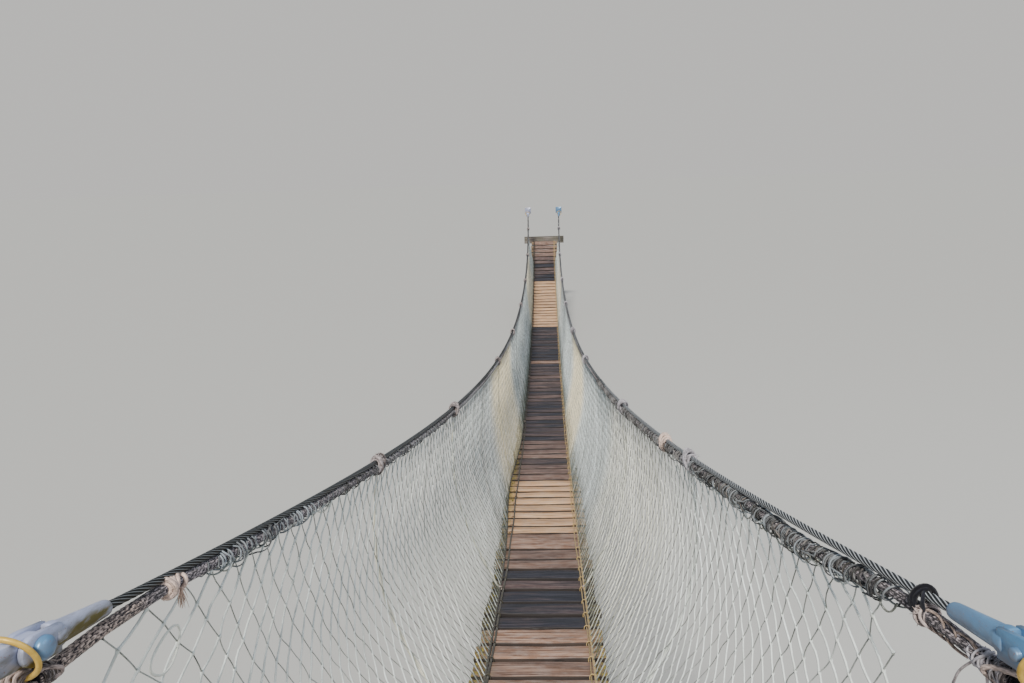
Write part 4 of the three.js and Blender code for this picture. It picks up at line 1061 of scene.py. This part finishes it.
def ring_lashings(form, side):
    """The head rope's ends tied to their rings: loops through the ring and into the rope's end, and turns
    wound round the end."""
    a = circle(20)
    for end in ("near", "far"):
        _, along, across, up, inward = fitting_frame(end, side)
        centre, axis, down = ring_frame(end, side)
        low = centre + RING_R * down
        bar = np.cross(axis, down)
        target = head_line(side, HEAD_ROPE_ENDS[end]) + along * 0.022
        d = unit(target - low)
        q = unit(np.cross(bar, d))
        half = np.linalg.norm(target - low) / 2 + 0.009
        for k in range(5):
            middle = (low + target) / 2 + bar * 0.0078 * (k - 2) * (1 if k % 2 else -1)
            path = ellipse(middle, a, d, half, q, 0.0105 + 0.0012 * (k % 3))
            path = path + (0.004 * np.sin(a + k))[:, None] * bar
            add_tubes(form, path, 0.0042, 6, bar, closed=True, tone=0.30 + 0.07 * k, warm=0.6)
        here = head_line(side, HEAD_ROPE_ENDS[end] + inward * (0.006 + 0.0085 * np.arange(3)))
        wave = 0.0150 + 0.0010 * np.sin(3 * a)
        turns = ellipse(here[:, None], a, across, wave, up, wave)
        turns = turns + (0.005 * np.cos(a + 1.0))[:, None] * along
        shade = np.linspace(0.05, 0.2, 3)[:, None, None]
        add_tubes(form, turns, 0.0040, 6, along, closed=True, tone=shade, warm=0.3)


def foot_rope(side, name, node_name):
    """A foot rope of four strands, lying on the boards."""
    ends = DECK_ENDS[0] + 0.01, DECK_ENDS[1] - 0.01
    y = stations(partial(foot_line, side), *ends, 0.010, 0.018, 5.0)
    form = Form()
    add_tubes(
        form, foot_line(side, y), FOOT_ROPE_R * 0.95, 8, Z_AXIS, twist=TURN / ROPE_LAY, warm=0.6,
        tone=0.42 + 0.12 * np.sin(y * 5.3)[None, :, None], shape=lambda a, s: strand_profile(a, 4, 0.78),
    )
    form.build(f"net_foot_rope_{name}", GOLD_TWINE if side > 0 else DARK_ROPE, "hanger_rope", node_name)


def hanger(bundles, knots, side, n, at):
    """A hanger: a bundle of twine that spreads towards the foot, with knots at both its ends."""
    v = np.linspace(1.0, 0.0, 30)
    here = np.full(len(v), at)
    out = net_outward(side, here, v)
    along = unit(net_point(side, here + 0.01, v) - net_point(side, here - 0.01, v))
    spread = np.interp(v, [0, 0.75, 1], [0.013, 0.010, 0.003])[:, None]
    # Painted sunlight and shade of the net at the hanger
    painted_brightness, warm = painted_net_light(side, at)
    warm = min(1, warm + (0.35 if side < 0 else 0.0))
    near = n < 2
    strands = 5 if near else 3
    for k in range(strands):
        angle = TURN * k / strands + 9 * v * (1 + 0.2 * k)
        path = ellipse(net_point(side, here, v) + out * 0.007, angle, along, spread[:, 0], out, 0.003)
        path = np.concatenate([head_line(side, at)[None], path])
        tone = held(painted_brightness - 0.08 + 0.06 * k)
        add_tubes(bundles, path, TWINE_R * 0.95, 4, Y_AXIS, tone=tone, warm=warm)
    knot_tangle(
        knots, bundle_axes(side, at), 0.058, 0.0185, 0.0275, 10 if near else 7, 0.0048, 40 + n + 9 * side,
        0.36 if side < 0 else 0.62, 0.25 if side < 0 else 0.0, 60 if near else 16, 0.013, 6 if near else 5,
    )
    t = unit(points(0, 1.0, deck_slope(at)))
    foot = (foot_line(side, at + net_lean(at)), t, X_AXIS, np.cross(X_AXIS, t))
    knot_tangle(knots, foot, 0.022, 0.0088, 0.0085, 3, 0.0022, 70 + n, 0.5, 0.6, sides=4)


def foot_ropes_and_hangers():
    """Foot ropes, hangers, the knots of both near ends and the lashings at the rings."""
    for side, name in SIDES:
        node_name = f"hangers_and_foot_rope_{name}"
        foot_rope(side, name, node_name)
        bundles, knots = Form(), Form()
        for n, at in enumerate(HANGERS_AT):
            hanger(bundles, knots, side, n, at)
        if side > 0:
            axes = bundle_axes(side, 2.78)
            knot_tangle(knots, axes, 0.050, 0.0180, 0.0265, 8, 0.0044, 91, 0.80, 0.75, 60, 0.013)
            tie = Form()
            near_end_ties(knots, tie)
            tie.build("dark_tie_right", TIE_ROPE, "hanger_rope")
        else:
            axes = rope_axes(side, 1.185)
            knot_tangle(knots, axes, 0.052, 0.0170, 0.0155, 6, 0.0050, 94, 0.84, 0.75, 40, 0.006, skew=0.55)
            centre, along, across, up = axes
            start = centre - up * 0.010 + along * 0.020 - across * side * 0.012
            hair_tail(knots, start, 26, 0.038, 5, 0.95, 0.9)
        ring_lashings(knots, side)
        bundles.build(f"hanger_bundles_{name}", NET_TWINE, "hanger_rope", node_name)
        knots.build(f"lashing_knots_{name}", KNOT_ROPE, "hanger_rope", node_name)


def deck_tie_ropes():
    """A rope along the boards over each foot cable, bedded on the boards and dipping at the gaps, with a
    stitch of twine round every board gap."""
    edges, _ = board_rows()
    ends = DECK_ENDS[0] + 0.02, DECK_ENDS[1] - 0.02
    y = stations(lambda at: points(0, at, deck_top(at)), *ends, 0.010, 0.016, 5.0)
    dip = 0.006 * bell(np.abs(y[:, None] - edges).min(1), 0, 0.012)
    a = circle(12)
    at = edges[1:-1, None]
    high = np.where(np.sin(a) > 0, 0.0145, PLANK_THICKNESS + 2 * CABLE_R + 0.004) * np.sin(a) + 0 * at
    for (side, name), radius, material in zip(SIDES, (0.0066, 0.0040), (DARK_ROPE, GOLD_TWINE)):
        form = Form()
        sway = 0.004 * np.sin(2.1 * y + side) + 0.0025 * np.sin(6.7 * y) - side * 0.003
        path = points(side * TIE_X + sway, y, deck_top(y)) + slope_up(y) * (radius * 0.9 - dip)[:, None]
        add_tubes(
            form, path, radius, 6, Z_AXIS, twist=TURN / ROPE_LAY, tone=0.45,
            shape=lambda a, s: strand_profile(a, 3, 0.8),
        )
        ring_x = side * (TIE_X + 0.003) + 0.012 * np.cos(a) + 0.002 * np.sin(at * 90)
        ring = points(ring_x, at, deck_top(at)) + slope_up(at) * high[..., None]
        add_tubes(form, ring, 0.0022, 4, Y_AXIS, closed=True, tone=0.5)
        form.build(f"deck_tie_rope_{name}", material, "hanger_rope")


def sockets():
    """Open sockets: a tapered shank that swells into a shoulder, two fork cheeks, a domed pin, the anchor's
    eye bar and plate, and the ring of the head rope."""
    a = np.linspace(-np.pi / 2, np.pi / 2, 17)
    arc = np.stack([np.cos(a), np.sin(a)], -1)
    fork = [[0.041, -0.0215], [0.041, 0.0215], [-0.004, CHEEK_R]]
    cheek = np.concatenate([fork, CHEEK_R * -arc - (0.012, 0), [[-0.004, -CHEEK_R]]])
    dome = np.linspace(0, np.pi / 2 - 0.15, 9)
    dome = np.stack([0.0182 * np.cos(dome), 0.0245 + 0.0105 * np.sin(dome)], -1)
    pin_profile = np.concatenate([PIN, dome])
    plate = rounded_rectangle((-ANCHOR_HALF,) * 2, (ANCHOR_HALF,) * 2, 0.008, 5)
    for end in ("near", "far"):
        for side, name in SIDES:
            label = f"{end}_{name}"
            paint = LEFT_PAINT if side < 0 else RIGHT_PAINT
            pin, along, across, up, inward = fitting_frame(end, side)
            form = Form()
            add_revolved(form, SHANK, pin, along, up, 44)
            for offset in (-CHEEK_OFFSET, CHEEK_OFFSET):
                add_plate(form, cheek, PLATE_THICKNESS, pin + across * offset, along, up, across)
            form.build(f"open_socket_{label}", paint, "cable_fittings", f"hand_cable_socket_{label}")
            form = Form()
            add_revolved(form, pin_profile, pin, across * inward, up, 32)
            form.build(f"clevis_pin_{label}", RIGHT_PAINT, "cable_fittings", f"socket_pin_{label}")
            form = Form()
            length = (ANCHOR_BACK - 0.007) / abs(along[1])
            eye = np.concatenate([[[-length, EYE_BAR_R], [-length, -EYE_BAR_R]], EYE_BAR_R * arc])
            add_plate(form, eye, EYE_BAR_THICKNESS, pin, along, up, across)
            middle = pin - along * (inward * ANCHOR_BACK / along[1])
            middle[1] = pin[1] - inward * (ANCHOR_BACK - 0.005)
            add_plate(form, plate, PLATE_THICKNESS, middle, X_AXIS, Z_AXIS, -Y_AXIS, 0.3)
            form.build(f"anchor_eye_bar_{label}", paint, "cable_fittings", f"anchor_eye_{label}")
            form = Form()
            centre, axis, down = ring_frame(end, side)
            ring = ellipse(centre, circle(56), down, RING_R, np.cross(axis, down), RING_R)
            add_tubes(form, ring, RING_BAR_R, 14, axis, closed=True, under=0.3)
            form.build(f"yellow_ring_{label}", YELLOW, "rope_rings", f"head_rope_ring_{label}")


def finish_cad_nodes():
    """Timber and zinc for the solids that stay as they are."""
    for end in ("near", "far"):
        names = [f"{end}_sill"] + [f"foot_cable_stop_{end}_{name}" for _, name in SIDES]
        for name, material in zip(names, (SILLS, STEEL, STEEL)):
            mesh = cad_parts[name].data
            mesh.materials.clear()
            mesh.materials.append(material)


def stand(data, name, axes, place):
    """Camera or light data as an object at a place, turned so that its own axes lie along three others."""
    made = bpy.data.objects.new(name, data)
    turn = Matrix(np.stack(axes, 1).tolist()).to_4x4()
    turn.translation = place
    made.matrix_world = turn
    bpy.context.scene.collection.objects.link(made)
    return made


def camera():
    """The photograph's view: fitted place, turned by yaw, pitch and roll in that order."""
    p, w, r = np.radians((PITCH, YAW, ROLL))
    forward = np.array([-np.sin(w) * np.cos(p), np.cos(w) * np.cos(p), -np.sin(p)])
    level = np.array([np.cos(w), np.sin(w), 0.0])
    upright = np.cross(level, forward)
    data = bpy.data.cameras.new("camera")
    data.lens, data.sensor_width = LENS_MM, SENSOR_MM
    data.clip_start, data.clip_end = 0.02, 200.0
    right, top = np.cos(r) * level + np.sin(r) * upright, -np.sin(r) * level + np.cos(r) * upright
    bpy.context.scene.camera = stand(data, "camera", (right, top, -forward), EYE)


def add_light(kind, name, energy, place, aim, colour, **settings):
    data = bpy.data.lights.new(name, kind)
    for key, value in {"energy": energy, "color": colour, **settings}.items():
        setattr(data, key, value)
    z = unit(np.subtract(place, aim))
    x = unit(np.cross(Z_AXIS, z))
    stand(data, name, (x, np.cross(z, x), z), place)


def studio():
    """Pale floor below the bridge, even sky light behind a plain backdrop, a soft key and a weak fill."""
    mesh = bpy.data.meshes.new("studio_floor")
    size, low = 400.0, -1.42
    corners = [(-size, -size, low), (size, -size, low), (size, size, low), (-size, size, low)]
    mesh.from_pydata(corners, [], [(0, 1, 2, 3)])
    floor = bpy.data.objects.new("studio_floor", mesh)
    look = Finish("studio_floor")
    look.colour = (0.40, 0.40, 0.39)
    mesh.materials.append(look.done(0.9))
    bpy.context.scene.collection.objects.link(floor)
    world = bpy.data.worlds.new("world")
    world.use_nodes = True
    tree = world.node_tree
    sky, seen = (
        make(tree, "ShaderNodeBackground", {"Color": colour, "Strength": strength})
        for colour, strength in (((0.72, 0.80, 0.90), 0.55), ((0.66, 0.65, 0.63), 1.0))
    )
    camera_ray = make(tree, "ShaderNodeLightPath", {}, "Is Camera Ray")
    both = make(tree, "ShaderNodeMixShader", {0: camera_ray, 1: sky, 2: seen})
    put(tree, tree.nodes["World Output"].inputs["Surface"], both)
    bpy.context.scene.world = world
    add_light("SUN", "key", 5.2, (-0.9, -6.5, 7.5), (0, 0, 0), (1.0, 0.95, 0.86), angle=math.radians(9))
    add_light("AREA", "fill", 250.0, (7, 2, 6), (0, 5, 0), (0.85, 0.92, 1.0), size=6.0)


camera()
deck_boards()
moss_tufts()
cables()
head_ropes()
head_twines()
nets()
foot_ropes_and_hangers()
deck_tie_ropes()
sockets()
finish_cad_nodes()
studio()
